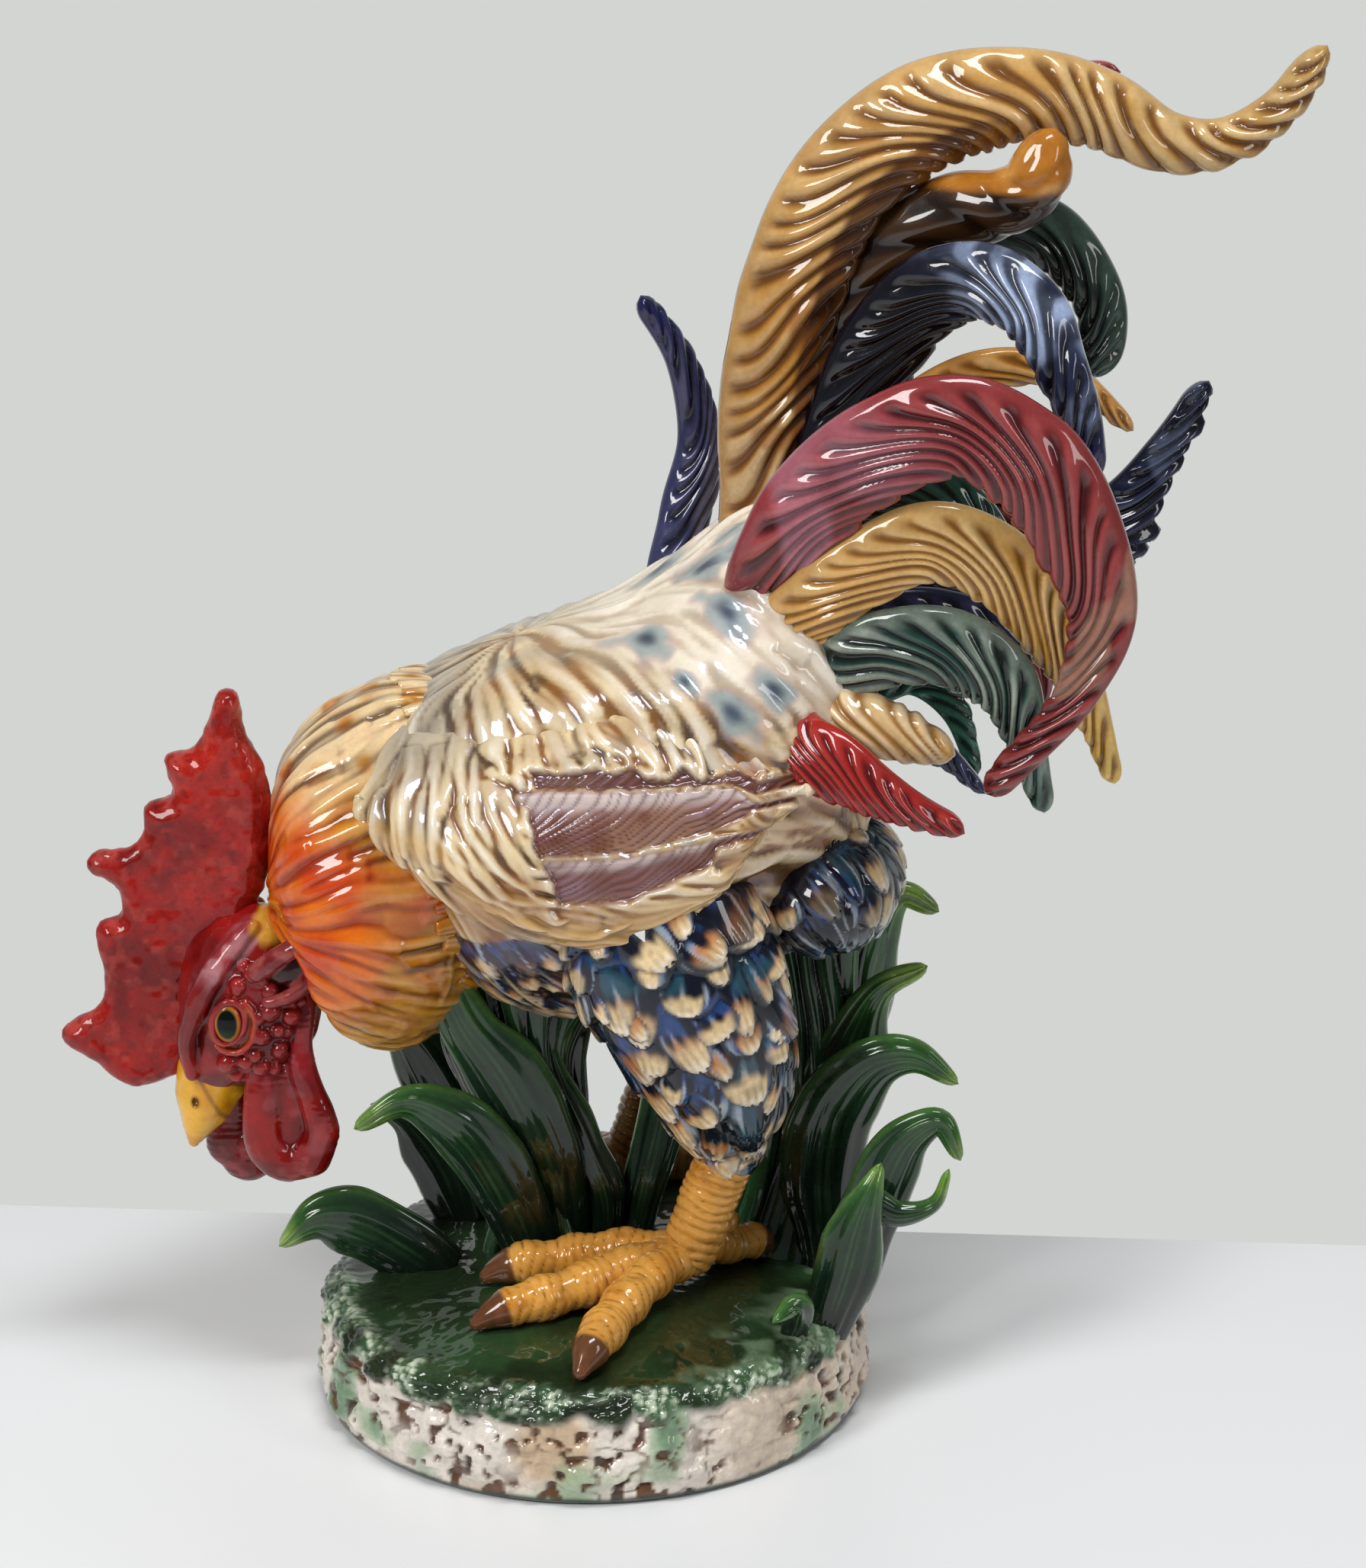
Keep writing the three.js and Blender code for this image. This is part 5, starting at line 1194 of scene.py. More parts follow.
def wing(side, name):
    """A folded wing: locks round three brown panels of barbs."""
    sign = -1 if side == "left" else 1
    points = section_grid([(a, b, share * 20, sign * (76 - tuck)) for a, b, share, tuck in WING], 230, WING_COLUMNS,
                          lean=-sign * 12, dome=(5, 5))
    round_about = turns(WING_COLUMNS)
    points[..., 1] -= sign * WING_TUCK * smooth(np.cos(round_about), 0.0, 1.0)
    skin = Skin(points, FLOW, spread=12.0, sway=0.45)
    local = skin.local
    x, z = local[..., 0], local[..., 2]
    ragged = 3.5 * noise(np.stack([x, x * 0, x * 0], -1), 7.0, 241)
    torn = x + 3.2 * noise(local, 7.0, 246)
    first, second, third = (panel(torn, z, *shape) for shape in WING_PANELS)
    third = (third[0] * smooth(138 + ragged - z, -0.8, 0.8), *third[1:])
    outer = smooth(sign * (local[..., 1] - sign * 60), 0, 6)
    panels = np.clip(first[0] + second[0] + third[0], 0, 1) * outer

    def reach(place):
        if place[2] > 134 and -40 < place[0] < 74:
            return max((place[2] - 131) * 1.3 + 4, 8)
        if place[0] < -16 and 86 < place[2] < 130:
            return max(-18 - place[0] + 12, 5)
        return 99

    skin.press(skin.seats(panels < 0.4, 25, 7.6, 9), 62, 7.8, 4.5, wave=2.8, seed=10, limit=reach, ribs=3)
    skin.carve(520, (1 - panels) * outer, 1.1)
    skin.height *= 1 - 0.7 * smooth(np.cos(round_about) + 0 * x, 0.8, 0.97)
    bed = np.zeros(skin.shape)
    barbs = np.zeros(skin.shape)
    for inside, up, deep in (first, second, third):
        slant = wavy((x + (up - z) * (0.7 + 0.9 * deep) + 5 * noise(local, 14.0, 242)) / 5.4, 13)
        lines = ridge(slant, 0.8) * (0.6 + 0.4 * number(slant, 14))
        flat = (-0.2 - 1.3 * deep + 1.7 * np.exp(-((deep - 0.07) / 0.07) ** 2)
                + 1.2 * (lines - 0.5) * smooth(deep, 0.2, 0.5))
        bed = bed + inside * flat
        barbs = barbs + inside * lines
    skin.height = skin.height * (1 - panels) + bed * outer
    skin.finish(sink=1.2)
    colour = plumage(skin, local)
    lower_edge = np.interp(x, [-60, -41, -15, 17, 49, 68, 84], [106, 85, 73, 75, 89, 106, 122])
    rim = smooth(0.6 - np.abs(z - lower_edge) / 14, 0, 0.5)
    colour = tint(colour, "#dfb468", rim * 0.45)
    brown = between("#7c4a3e", "#946a54", clouds(local, 20.0, 243, -0.2, 0.4))
    # Painted highlights: a pearly colour on the barb ridges.
    pearly_sheen = between("#a58aa6", "#c9b3a4", clouds(local, 12.0, 244, -0.2, 0.3))
    brown = mix(brown, pearly_sheen, 0.6 * smooth(barbs, 0.5, 1) * clouds(local, 16.0, 245, -0.4, 0.4))
    # Painted highlight: a pale band along the top of the two lower panels; tan towards their lower edge.
    for inside, _, deep in (first, second):
        shine = np.exp(-((deep - 0.12) / 0.13) ** 2)
        brown = tint(brown, "#ead9d4", shine * 0.8 * inside)
        brown = tint(brown, "#c69c66", smooth(deep, 0.75, 1.0) * (1 - barbs) * 0.6 * inside)
    # Painted shade: dark brown between the barbs.
    brown = tint(brown, "#4f2a1e", (1 - smooth(barbs, 0.1, 0.55)) * 0.6)
    brown = tint(brown, "#6d3a1e", clouds(local, 9.0, 247, 0.2, 0.6) * 0.5)
    brown = tint(brown, "#5c3118", third[0] * 0.6)
    colour = mix(colour, brown, panels)
    hollow = np.maximum(skin.hollow, panels * (1 - smooth(barbs, 0, 0.5)) * 0.5)
    emit(name + "_plumage", [close_ends(skin.points, colour, hollow)], CREAM_GLAZE, (name,))


HACKLE_X, HACKLE_Z = -122, 66  # the middle of the hackle, from which its colours spread


def neck():
    """The hackle: fine locks and a fringe of loose strands round the root of the head."""
    points = section_grid([(a, b, share * 62, y) for a, b, share, y in NECK], 150, 366, dome=(4, 12))

    def outward(local):
        away = local - np.array([-122, 0, 64])
        away[..., 1] *= 0.35
        return away / np.maximum(np.linalg.norm(away, axis=-1, keepdims=True), 1e-6) + np.array([0.25, 0, 0])

    skin = Skin(points, outward, sway=0.4)
    local = skin.local
    skin.press(skin.seats(np.ones(skin.shape, bool), 30, 7.8, 11), 72, 7.8, 3.0, wave=2.8, seed=12, ribs=3)
    skin.carve(540, 1.0, 1.15)
    skin.finish(sink=1.2)
    parts = [close_ends(skin.points, hackle_paint(skin, local), skin.hollow)]
    rng = np.random.default_rng(14)
    row = 16
    for j in range(0, skin.shape[1], 9):
        r = rng.random(5)
        seat = skin.points[row + int(10 * r[0]), j]
        go = skin.flow[row + 8, j]
        out = skin.normals[row + 8, j]
        turn = skin.side[row + 8, j]
        curl = (r[1] - 0.5) * 16
        length = 28 + 15 * r[2]
        chain = [seat - go * 9 - out * 2, seat + out * 0.6]
        for share, bow, lift in ((0.4, 0.25, 1.0), (0.75, 0.8, -1.0), (1, 1.5, -4.5)):
            chain.append(seat + go * length * share + turn * curl * bow + out * lift)
        b = Blade(chain, 11 + 5 * r[3], 6.5, 0.1, out, 0.6, 0.2, step=1.5, around=22, cap=5)
        b.place()
        lines = np.abs(np.cos(b.side * np.pi * 1.6 + r[4] * 3))
        b.push(0.7 * (lines - 0.6) * smooth(b.close, 0.2, 0.8))
        place = b.points - BIRD_AT
        colour = hackle_colour(place, b.t + 0 * b.side, r[4])
        # Painted shade: dark brown in the grooves of the loose strands.
        deep = 1 - smooth(lines, 0.1, 0.6)
        colour = tint(colour, "#5f360c", deep * 0.75)
        parts.append(close_ends(b.points, colour, deep * 0.6))
    emit("neck_plumage", parts, ORANGE_GLAZE, ("neck_hackle",))


def hackle_colour(local, tip, mark):
    """Orange round the middle of the hackle, then gold, and cream over the nape."""
    x, z = local[..., 0], local[..., 2]
    far = np.hypot(x - HACKLE_X, z - HACKLE_Z)
    up = smooth(z - 0.35 * (x - HACKLE_X), 96, 128)
    low = smooth(40 - z, 0, 30)
    fire = between("#cc4406", "#de6c08", clouds(local, 15.0, 251, -0.3, 0.4))
    gold = between("#cf8c12", "#b8741a", clouds(local, 12.0, 252, -0.3, 0.4))
    gold = tint(gold, "#cfa05a", smooth(noise(local, 17.0, 253) + 0.4 * mark, 0.15, 0.6) * 0.4)
    way = far + 12 * noise(local, 20.0, 254) + 10 * tip + 4 * low + 9 * noise(local, 9.0, 257)
    colour = mix(fire, gold, smooth(way, 34, 70))
    colour = tint(colour, "#ecd2a4", up * 0.9 * clouds(local, 9.0, 255, -0.7, 0.2))
    return tint(colour, "#f0a080", clouds(local, 6.0, 256, 0.3, 0.6) * 0.14)


def hackle_paint(skin, local):
    """The hackle's colour with painted highlights on its crests and painted shade in its grooves."""
    colour = hackle_colour(local, skin.u, skin.mark)
    far = np.hypot(local[..., 0] - HACKLE_X, local[..., 2] - HACKLE_Z)
    dark = between("#8f2206", "#4f2a08", smooth(far, 34, 56))
    lit = np.clip(skin.crest + smooth(skin.strand, 0.7, 0.95), 0, 1)
    colour = tint(colour, "#f2cf94", lit * 0.3 * smooth(far, 20, 60))
    # Painted shade: dark red-brown in the grooves and between the strands.
    return mix(colour, dark, np.clip(skin.hollow * 1.2 + 0.5 * smooth(0.4 - skin.strand, 0, 0.25), 0, 1) * 0.8)


def thigh(side, name):
    """A thigh of blue scales; the right one is swung forward and painted darker, as painted shade on the far side."""
    sign = -1 if side == "left" else 1
    pairs = []
    for a, b, share, dy in THIGH:
        back = [0, 0]
        if side == "right":
            back = [-26 * min(max((84 - p[1]) / 116, 0), 1.3) for p in (a, b)]
        pairs.append(([a[0] + back[0], a[1]], [b[0] + back[1], b[1]], share * 40, sign * (62 + dy)))
    points = section_grid(pairs, 150, 300, dome=(6, 12))
    guides = [(0, 70, 0.55, -0.85), (40, 70, 0.45, -0.9), (70, 60, 0.4, -0.9), (10, 20, 0.4, -0.9), (60, 20, 0.2, -1),
              (50, -20, 0.15, -1)]
    skin = Skin(points, guides)
    skin.press(skin.seats(np.ones(skin.shape, bool), 14.5, 12.5, 15), 25, 11, 4.2, kind="scale", vary=0.42, seed=16)
    skin.finish(sink=1.6)
    colour = scale_paint(skin, skin.local)
    # Painted shade: the far thigh is darkened.
    if side == "right":
        colour = colour * 0.8
    emit(name + "_scales", [close_ends(skin.points, colour, skin.hollow)], SCALE_GLAZE, (name,))


def rump():
    """The ball of dark scales under the tail, darkened further as painted shade."""
    rows, around = 150, 260
    polar = np.linspace(0.03, np.pi - 0.03, rows)[:, None]
    turn = turns(around)
    points = bird(np.array([96, -16, 72]) + np.stack([37 * np.cos(polar) + 0 * turn, 56 * np.sin(polar) * np.cos(turn),
                                                       32 * np.sin(polar) * np.sin(turn)], -1))
    skin = Skin(points, [(60, 80, 0.5, -0.8), (96, 90, 0.5, -0.85), (96, 60, 0.3, -0.95), (130, 72, 0.3, -0.95)])
    skin.press(skin.seats(np.ones(skin.shape, bool), 12, 10.5, 17), 19, 8.6, 3.4, kind="scale", seed=18)
    skin.finish(sink=1.4)
    # Painted shade: the scales here are darkened, as they lie under the tail.
    colour = scale_paint(skin, skin.local, 3, 0.45) * 0.7
    emit("rump_scales", [close_ends(skin.points, colour, skin.hollow)], SCALE_GLAZE, ("rump_fluff",))


# Lumps that are blended from simple bodies

def net(low, high, step, field):
    """The skin on which field is 0 inside a box, as points and quads."""
    axes = [np.arange(a, b + step, step) for a, b in zip(low, high)]
    grid = np.stack(np.meshgrid(*axes, indexing="ij"), -1)
    rough = field(grid[::4, ::4, ::4])
    value = np.repeat(np.repeat(np.repeat(rough, 4, 0), 4, 1), 4, 2)
    value = value[:grid.shape[0], :grid.shape[1], :grid.shape[2]].copy()
    band = np.abs(value) < step * 5.8 + 1.2
    value[band] = field(grid[band])
    inside = value < 0
    nx, ny, nz = value.shape
    total = np.zeros((nx - 1, ny - 1, nz - 1, 3))
    count = np.zeros((nx - 1, ny - 1, nz - 1))
    for axis in range(3):
        a = [slice(None)] * 3
        b = [slice(None)] * 3
        a[axis], b[axis] = slice(0, -1), slice(1, None)
        va, vb = value[tuple(a)], value[tuple(b)]
        cross = (va < 0) != (vb < 0)
        share = np.where(cross, va / np.where(cross, va - vb, 1), 0)
        spot = grid[tuple(a)].copy()
        spot[..., axis] += share * step
        others = [k for k in range(3) if k != axis]
        for da in (0, 1):
            for db in (0, 1):
                pick = [slice(None)] * 3
                pick[others[0]] = slice(da, da + value.shape[others[0]] - 1)
                pick[others[1]] = slice(db, db + value.shape[others[1]] - 1)
                total += spot[tuple(pick)] * cross[tuple(pick)][..., None]
                count += cross[tuple(pick)]
    used = count > 0
    index = np.full(count.shape, -1, np.int64)
    index[used] = np.arange(used.sum())
    points = total[used] / count[used][:, None]
    quads = []
    for axis in range(3):
        a = [slice(1, -1)] * 3
        b = [slice(1, -1)] * 3
        a[axis], b[axis] = slice(0, -1), slice(1, None)
        cross = np.argwhere(inside[tuple(a)] != inside[tuple(b)])
        if not len(cross):
            continue
        start = np.array([1, 1, 1])
        start[axis] = 0
        cell = cross + start
        one, two = [k for k in range(3) if k != axis]
        corners = []
        for da, db in ((-1, -1), (0, -1), (0, 0), (-1, 0)):
            c = cell.copy()
            c[:, one] += da
            c[:, two] += db
            corners.append(index[c[:, 0], c[:, 1], c[:, 2]])
        face = np.stack(corners, -1)
        flip = inside[tuple(cell.T)]
        if axis == 1:
            flip = ~flip
        face[~flip] = face[~flip][:, ::-1]
        quads.append(face)
    return points, np.concatenate(quads)


def blend(values, soft):
    """A smooth union of distances."""
    out = values[0]
    for other in values[1:]:
        h = np.clip(0.5 + 0.5 * (other - out) / soft, 0, 1)
        out = other * (1 - h) + out * h - soft * h * (1 - h)
    return out


def ball(p, centre, radii):
    """Roughly the distance to a ball with three radii."""
    q = (p - np.array(centre, float)) / np.array(radii, float)
    k = np.linalg.norm(q, axis=-1)
    return (k - 1) * min(radii)


def rod(p, points, radii, squash=1.0):
    """Distance to a chain of rods whose radius changes from point to point."""
    best = None
    points = np.asarray(points, float)
    for i in range(len(points) - 1):
        a, b = points[i], points[i + 1]
        ab = b - a
        t = np.clip(((p - a) @ ab) / (ab @ ab), 0, 1)
        gap = p - (a + t[..., None] * ab)
        if squash != 1.0:
            gap = gap * np.array([1, squash, 1])
        d = np.linalg.norm(gap, axis=-1) - (radii[i] * (1 - t) + radii[i + 1] * t)
        best = d if best is None else np.minimum(best, d)
    return best


def curve(points, steps=14):
    """Points of a smooth curve."""
    return path(points, steps)[0]


# Head, comb, beak, eyes, ears and wattles

HEAD_Y = -31.0
EYE_X, EYE_Z = -151.5, 18


def mirror(points, far):
    """The points, put on the far side of the head if far."""
    return [(x, 2 * HEAD_Y - y if far else y, z) for x, y, z in points]


def cheek(x, z):
    """Where the side of the head lies at a place in the side view."""
    return HEAD_Y - 25 * math.sqrt(max(0.06, 1 - ((x + 145) / 30.5) ** 2 - ((z - 20) / 41) ** 2))


BROW = [(-169, -47, -9), (-171, -49, 3), (-169, -52, 15), (-164.5, -53.5, 27), (-158, -52, 38), (-150, -49, 48),
        (-142, -44, 57)]
BEADS = [(-141, 39, 4.2), (-134, 31, 4.0), (-147, 34, 3.4), (-134, 22, 4.6), (-126, 19, 4.4), (-138, 11, 4.2),
         (-131, 4, 4.0), (-123, 7, 3.8), (-145, -1, 3.6), (-153, -2, 4.4), (-161, -5, 3.2), (-139, -4, 4.0),
         (-127, 27, 3.6), (-150, -9, 3.2), (-158, -11, 3.0), (-131, 13, 3.2), (-141, 2, 3.0), (-134, -6, 3.2),
         (-128, 12, 2.8), (-145, 42, 3.0), (-120, 14, 3.0), (-137, 36, 2.6)]


def face_field(p):
    """The head with its brow lobes, eyelids and caruncles, round the bird's own axes."""
    rng = np.random.default_rng(31)
    core = blend([ball(p, (-145, HEAD_Y, 20), (30.5, 24, 40)), ball(p, (-162, HEAD_Y, -5), (14, 17, 17)),
                  ball(p, (-139, HEAD_Y, 46), (14, 13, 13))], 7.0)
    lumps = []
    for far in (False, True):
        lumps.append(rod(p, curve(mirror(BROW, far)), np.interp(np.linspace(0, 1, 14), [0, 0.3, 0.7, 1],
                                                                [3.2, 4.4, 5.2, 3.4])))
        ring = [(EYE_X + 7.0 * math.cos(a) + 0.12 * 9.6 * math.sin(a), cheek(EYE_X, EYE_Z) - 0.9,
                 EYE_Z + 9.6 * math.sin(a)) for a in np.linspace(0, 2 * math.pi, 19)]
        lumps.append(rod(p, mirror(ring, far), [1.4] * 19))
        fold = [(-150.5 + 10.4 * math.cos(a), cheek(-151 + 9 * math.cos(a), 18) + 0.6, 16.5 + 12.6 * math.sin(a))
                for a in np.linspace(-2.3, 0.9, 12)]
        lumps.append(rod(p, mirror(fold, far), [1.5] * 12))
    body = blend([core, np.minimum.reduce(lumps)], 2.0)
    beads = []
    for far in (False, True):
        small = [(rng.uniform(-148, -117), rng.uniform(-10, 40), rng.uniform(1.8, 2.6)) for _ in range(14)]
        for x, z, r in BEADS + small:
            if math.hypot((x + 151) / 11.5, (z - 18) / 13.5) < 1.05:
                continue
            beads.append(ball(p, mirror([(x, cheek(x, z) + 0.3 * r, z)], far)[0], (r, r, r)))
    body = blend([body, np.minimum.reduce(beads)], 1.4)
    return body - 0.35 * noise(p, 5.0, 32) - 0.5 * noise(p, 12.0, 33)


def lump(name, low, high, step, field, paint, material, nodes, extra=()):
    """A piece made from one field round the bird's own axes; paint(p) gives its colour and grooves."""
    points, quads = net(low, high, step, field)
    d = field(points)
    e = 0.05
    slope = np.stack([field(points + np.eye(3)[k] * e) - d for k in range(3)], -1) / e
    points = points - slope * (d / np.maximum(np.sum(slope ** 2, -1), 0.3))[:, None]
    colour, groove = paint(points)
    parts = [(bird(points), quads, np.zeros((0, 3), int), colour, groove)] + list(extra)
    emit(name, parts, material, nodes)


def creases(p, field, reach):
    """How deep a place lies in a crease of a field, and how far it stands out on a crest."""
    total = sum(field(p + s * np.eye(3)[k] * reach) for k in range(3) for s in (-1, 1)) / 6 - field(p)
    return np.clip(-total * 1.6, 0, 1), np.clip(total * 1.6, 0, 1)


def head():
    """The head with its eyelids, painted shade in its creases, and painted highlights on its crests and on the pearly
    top of its brow.
    """
    def paint(p):
        crease, crest = creases(p, face_field, 1.8)
        colour = between("#6e0c0d", "#8a100e", clouds(p, 12.0, 34, -0.3, 0.4))
        brow = rod(p, curve(mirror(BROW, False)), [5.0] * 14)
        brow = np.minimum(brow, rod(p, curve(mirror(BROW, True)), [5.0] * 14))
        on_brow = 1 - smooth(brow, 0.5, 3.0)
        # Painted highlight: a pale pearly colour over the top of the brow.
        pearly_sheen = between("#963f48", "#cfa0a6", clouds(p, 5.0, 35, -0.1, 0.4))
        colour = mix(colour, pearly_sheen, on_brow * smooth(p[:, 2] + 7 * noise(p, 7.0, 36), 30, 46) * 0.5)
        # Painted highlights on the crests.
        colour = tint(colour, "#b4454a", crest * 0.45)
        near_eye = np.hypot((p[:, 0] - EYE_X) / 10.5, (p[:, 2] - EYE_Z) / 13)
        lid = smooth(near_eye, 0.7, 0.85) * (1 - smooth(near_eye, 1.0, 1.15))
        colour = tint(colour, "#c8552c", lid * 0.55 * smooth(-p[:, 2] + 0.8 * p[:, 0] + 141, -6, 6))
        # Painted shade in the creases.
        colour = tint(colour, "#3d0a10", crease * 0.85)
        tuft = 1 - smooth(np.hypot(p[:, 0] + 134, p[:, 2] - 57) + 2 * noise(p, 4.0, 37), 5, 9)
        colour = tint(colour, "#e0a63a", tuft * 0.9)
        throat = smooth(p[:, 0], -122, -114) * smooth(-p[:, 2], -30, -5)
        return tint(colour, "#a8452a", throat * 0.3), crease * 0.8

    lump("head_looks", (-182, -62, -26), (-110, 0, 72), 0.95, face_field, paint, FACE_GLAZE, ("head",))


COMB = [(-180, -19), (-197, -23), (-214, -9), (-227, -2), (-226, 5), (-208, 17), (-208, 38), (-210, 50), (-206, 56),
        (-199, 54), (-199, 68), (-212, 77), (-211, 84), (-192, 87), (-186, 96), (-188, 105), (-174, 109), (-178, 128),
        (-165, 129), (-158, 144), (-154, 156), (-146, 155), (-144, 138), (-134, 116), (-133, 98), (-138, 68),
        (-146, 44), (-152, 16), (-168, -6)]


def inside_depth(x, z, outline):
    """Signed distance to a closed outline, negative inside."""
    best = np.full(x.shape, 1e9)
    odd = np.zeros(x.shape, bool)
    for (ax, az), (bx, bz) in zip(outline, np.roll(outline, -1, 0)):
        ex, ez = bx - ax, bz - az
        t = np.clip(((x - ax) * ex + (z - az) * ez) / max(ex * ex + ez * ez, 1e-9), 0, 1)
        best = np.minimum(best, (x - ax - t * ex) ** 2 + (z - az - t * ez) ** 2)
        crosses = (az > z) != (bz > z)
        odd ^= crosses & (x < ex * (z - az) / (ez if abs(ez) > 1e-9 else 1e-9) + ax)
    return np.where(odd, -1, 1) * np.sqrt(best)


def closed_curve(points, steps):
    """A smooth closed outline through points, in two dimensions."""
    ring = np.array([*points[-3:], *points, *points[:3]], float)
    line = path(ring, steps)[0]
    start = np.argmin(np.linalg.norm(line[:steps // 3] - points[0], axis=1))
    end = steps // 2 + np.argmin(np.linalg.norm(line[steps // 2:] - points[0], axis=1))
    return line[start:end]


def comb():
    """The comb: a thick, rounded plate with a toothed outline."""
    outline = closed_curve(COMB, 170)

    def field(p):
        x, z = p[..., 0], p[..., 2]
        d2 = inside_depth(x, z, outline)
        base = smooth(x + 0.3 * z, -165, -135)
        radius = 6.0 + 2.6 * base
        radius = radius + 0.9 * np.exp(-((d2 + radius) / 3.0) ** 2)
        y = p[..., 1] + 25 + 3 * smooth(-x, 150, 225)
        gap = np.maximum(d2 + radius, 0)
        return np.hypot(gap, y) - radius - 0.7 * noise(p, 7.0, 41) - 0.4 * noise(p, 3.4, 42)

    def paint(p):
        d2 = inside_depth(p[:, 0], p[:, 2], outline)
        colour = between("#95150e", "#780c08", smooth(noise(p, 11.0, 43, 2), -0.1, 0.45))
        colour = tint(colour, "#a81e0e", clouds(p, 26.0, 44, 0.0, 0.5) * 0.6)
        colour = tint(colour, "#6d0a0e", smooth(noise(p, 5.0, 45, 2), 0.3, 0.6) * 0.5)
        # Paler near the edges: partly wear, partly painted highlight.
        worn_and_sheen = smooth(d2, -5.5, -1.0) * smooth(noise(p, 5.0, 46, 2) + 0.25, 0.1, 0.55)
        colour = tint(colour, "#bd4a42", worn_and_sheen * 0.65)
        # Painted highlights: pale speckles for the broken gloss.
        colour = tint(colour, "#b8463c", clouds(p, 3.6, 48, 0.25, 0.6) * 0.35)
        foot = smooth(p[:, 0] + 0.42 * p[:, 2], -160, -148) * (1 - smooth(p[:, 2], 50, 100))
        return tint(colour, "#8e1c1c", foot * 0.4), clouds(p, 4.0, 47, 0.35, 0.7) * 0.25

    lump("comb_looks", (-233, -42, -29), (-127, -10, 162), 1.15, field, paint, RED_GLAZE, ("comb",))


NOSTRIL = (-168.5, -43.5, -23.5)


def beak():
    """The beak: two tapering bars with a nostril on each side."""
    def field(p):
        upper = rod(p, curve([(-163, HEAD_Y, -14), (-165, HEAD_Y, -22), (-167, HEAD_Y, -31), (-169.5, HEAD_Y, -40),
                              (-171.5, HEAD_Y, -47)], 12), np.interp(np.linspace(0, 1, 12), [0, 0.3, 0.7, 1],
                                                                     [14.5, 13.2, 7.6, 2.6]))
        lower = rod(p, [(-156, HEAD_Y, -20), (-162, HEAD_Y, -34), (-167, HEAD_Y, -42)], [8.5, 5.5, 2.6])
        body = blend([upper, lower], 1.5)
        nostril = both_nostrils(p)
        return np.maximum(body, -nostril) - 0.12 * noise(p, 7.0, 51)

    def both_nostrils(p):
        return np.minimum(*(ball(p, mirror([NOSTRIL], far)[0], (1.5, 2.2, 2.25)) for far in (False, True)))

    def paint(p):
        colour = between("#f2b424", "#e29a12", clouds(p, 9.0, 52, -0.2, 0.5))
        edge = smooth(p[:, 2] + 0.4 * noise(p, 4.0, 53) * 6, -16, -9)
        colour = tint(colour, "#b07a1c", edge * 0.35)
        # Painted shade: darker in the nostrils.
        pit = 1 - smooth(both_nostrils(p), 0.0, 1.2)
        colour = tint(colour, "#8a5a12", pit * 0.85)
        seam = 1 - smooth(np.abs((p[:, 0] + 158.5) + 0.42 * (p[:, 2] + 30)), 0.4, 1.6)
        colour = tint(colour, "#6d4712", seam * 0.6)
        return colour, pit * 0.5

    lump("beak_looks", (-186, -48, -54), (-144, -14, -2), 0.8, field, paint, BEAK_GLAZE, ("beak",))


def eye(side, name):
    """An eye: a flattened ball with painted rings."""
    far = side == "right"
    rows, around = 60, 72
    polar = np.linspace(0.04, np.pi - 0.04, rows)[:, None]
    turn = turns(around)
    out = 1.0 if far else -1.0
    y0 = 2 * HEAD_Y - cheek(EYE_X, EYE_Z) if far else cheek(EYE_X, EYE_Z)
    q = np.sin(polar) + 0 * turn
    front = np.cos(polar) + 0 * turn
    points = bird(np.stack([EYE_X + 6.6 * q * np.cos(turn), y0 - out * 0.5 + out * 4.6 * front,
                            EYE_Z + 9.2 * q * np.sin(turn)], -1))
    round_in = np.hypot(q * np.cos(turn) * 1.12 + 0.05, q * np.sin(turn) - 0.04)
    colour = between("#07110c", "#16351f", smooth(-q * np.sin(turn) + 0.2 * noise(points, 3.0, 61), 0.1, 0.5) * 0.8)
    colour = tint(colour, "#7c4a16", smooth(round_in, 0.66, 0.71))
    colour = tint(colour, "#a8702c", smooth(round_in, 0.73, 0.79))
    colour = tint(colour, "#a33c18", smooth(round_in, 0.84, 0.92))
    colour = tint(colour, "#5a1014", smooth(round_in, 0.95, 1.0))
    colour = np.where((front < -0.1)[..., None], rgb("#5a1014"), colour)
    groove = 0.3 * np.exp(-((round_in - 0.8) / 0.04) ** 2)
    emit(name + "_looks", [close_ends(points, colour, groove)], EYE_GLAZE, (name,))


def ear(side, name):
    """An ear lobe: a looped roll round a shallow bowl."""
    far = side == "right"
    loop = [(-139, -53, 40), (-130, -56, 47.5), (-121, -57, 53), (-114.5, -56, 51), (-113, -55, 43.5),
            (-118, -56, 35.5), (-127, -56, 29.5), (-134.5, -55, 27)]
    line = mirror([tuple(q) for q in curve(loop, 30)], far)
    sizes = np.interp(np.linspace(0, 1, 30), [0, 0.4, 0.55, 1], [4.4, 4.2, 3.6, 2.8])
    floor = mirror([(-124, -49, 40)], far)[0]

    def field(p):
        bowl = ball(p, floor, (14, 6.0, 9))
        lobes = rod(p, line, sizes)
        return blend([lobes, bowl], 1.6) - 0.3 * noise(p, 4.0, 62)

    def paint(p):
        tube = rod(p, line, sizes)
        colour = between("#74181c", "#8f3436", clouds(p, 6.0, 63, -0.2, 0.4))
        colour = tint(colour, "#b06a5c", smooth(noise(p, 4.0, 64) + 0.3, 0.4, 0.8) * 0.3)
        # Painted shade: nearly black inside the bowl, away from the roll.
        deep = smooth(tube, 0.6, 2.2)
        return tint(colour, "#2c0a0c", deep * 0.9), deep

    low_y, high_y = (2 * HEAD_Y + 38, 2 * HEAD_Y + 65) if far else (-65, -38)
    lump(name + "_looks", (-146, low_y, 20), (-106, high_y, 60), 0.8, field, paint, FACE_GLAZE, (name,))


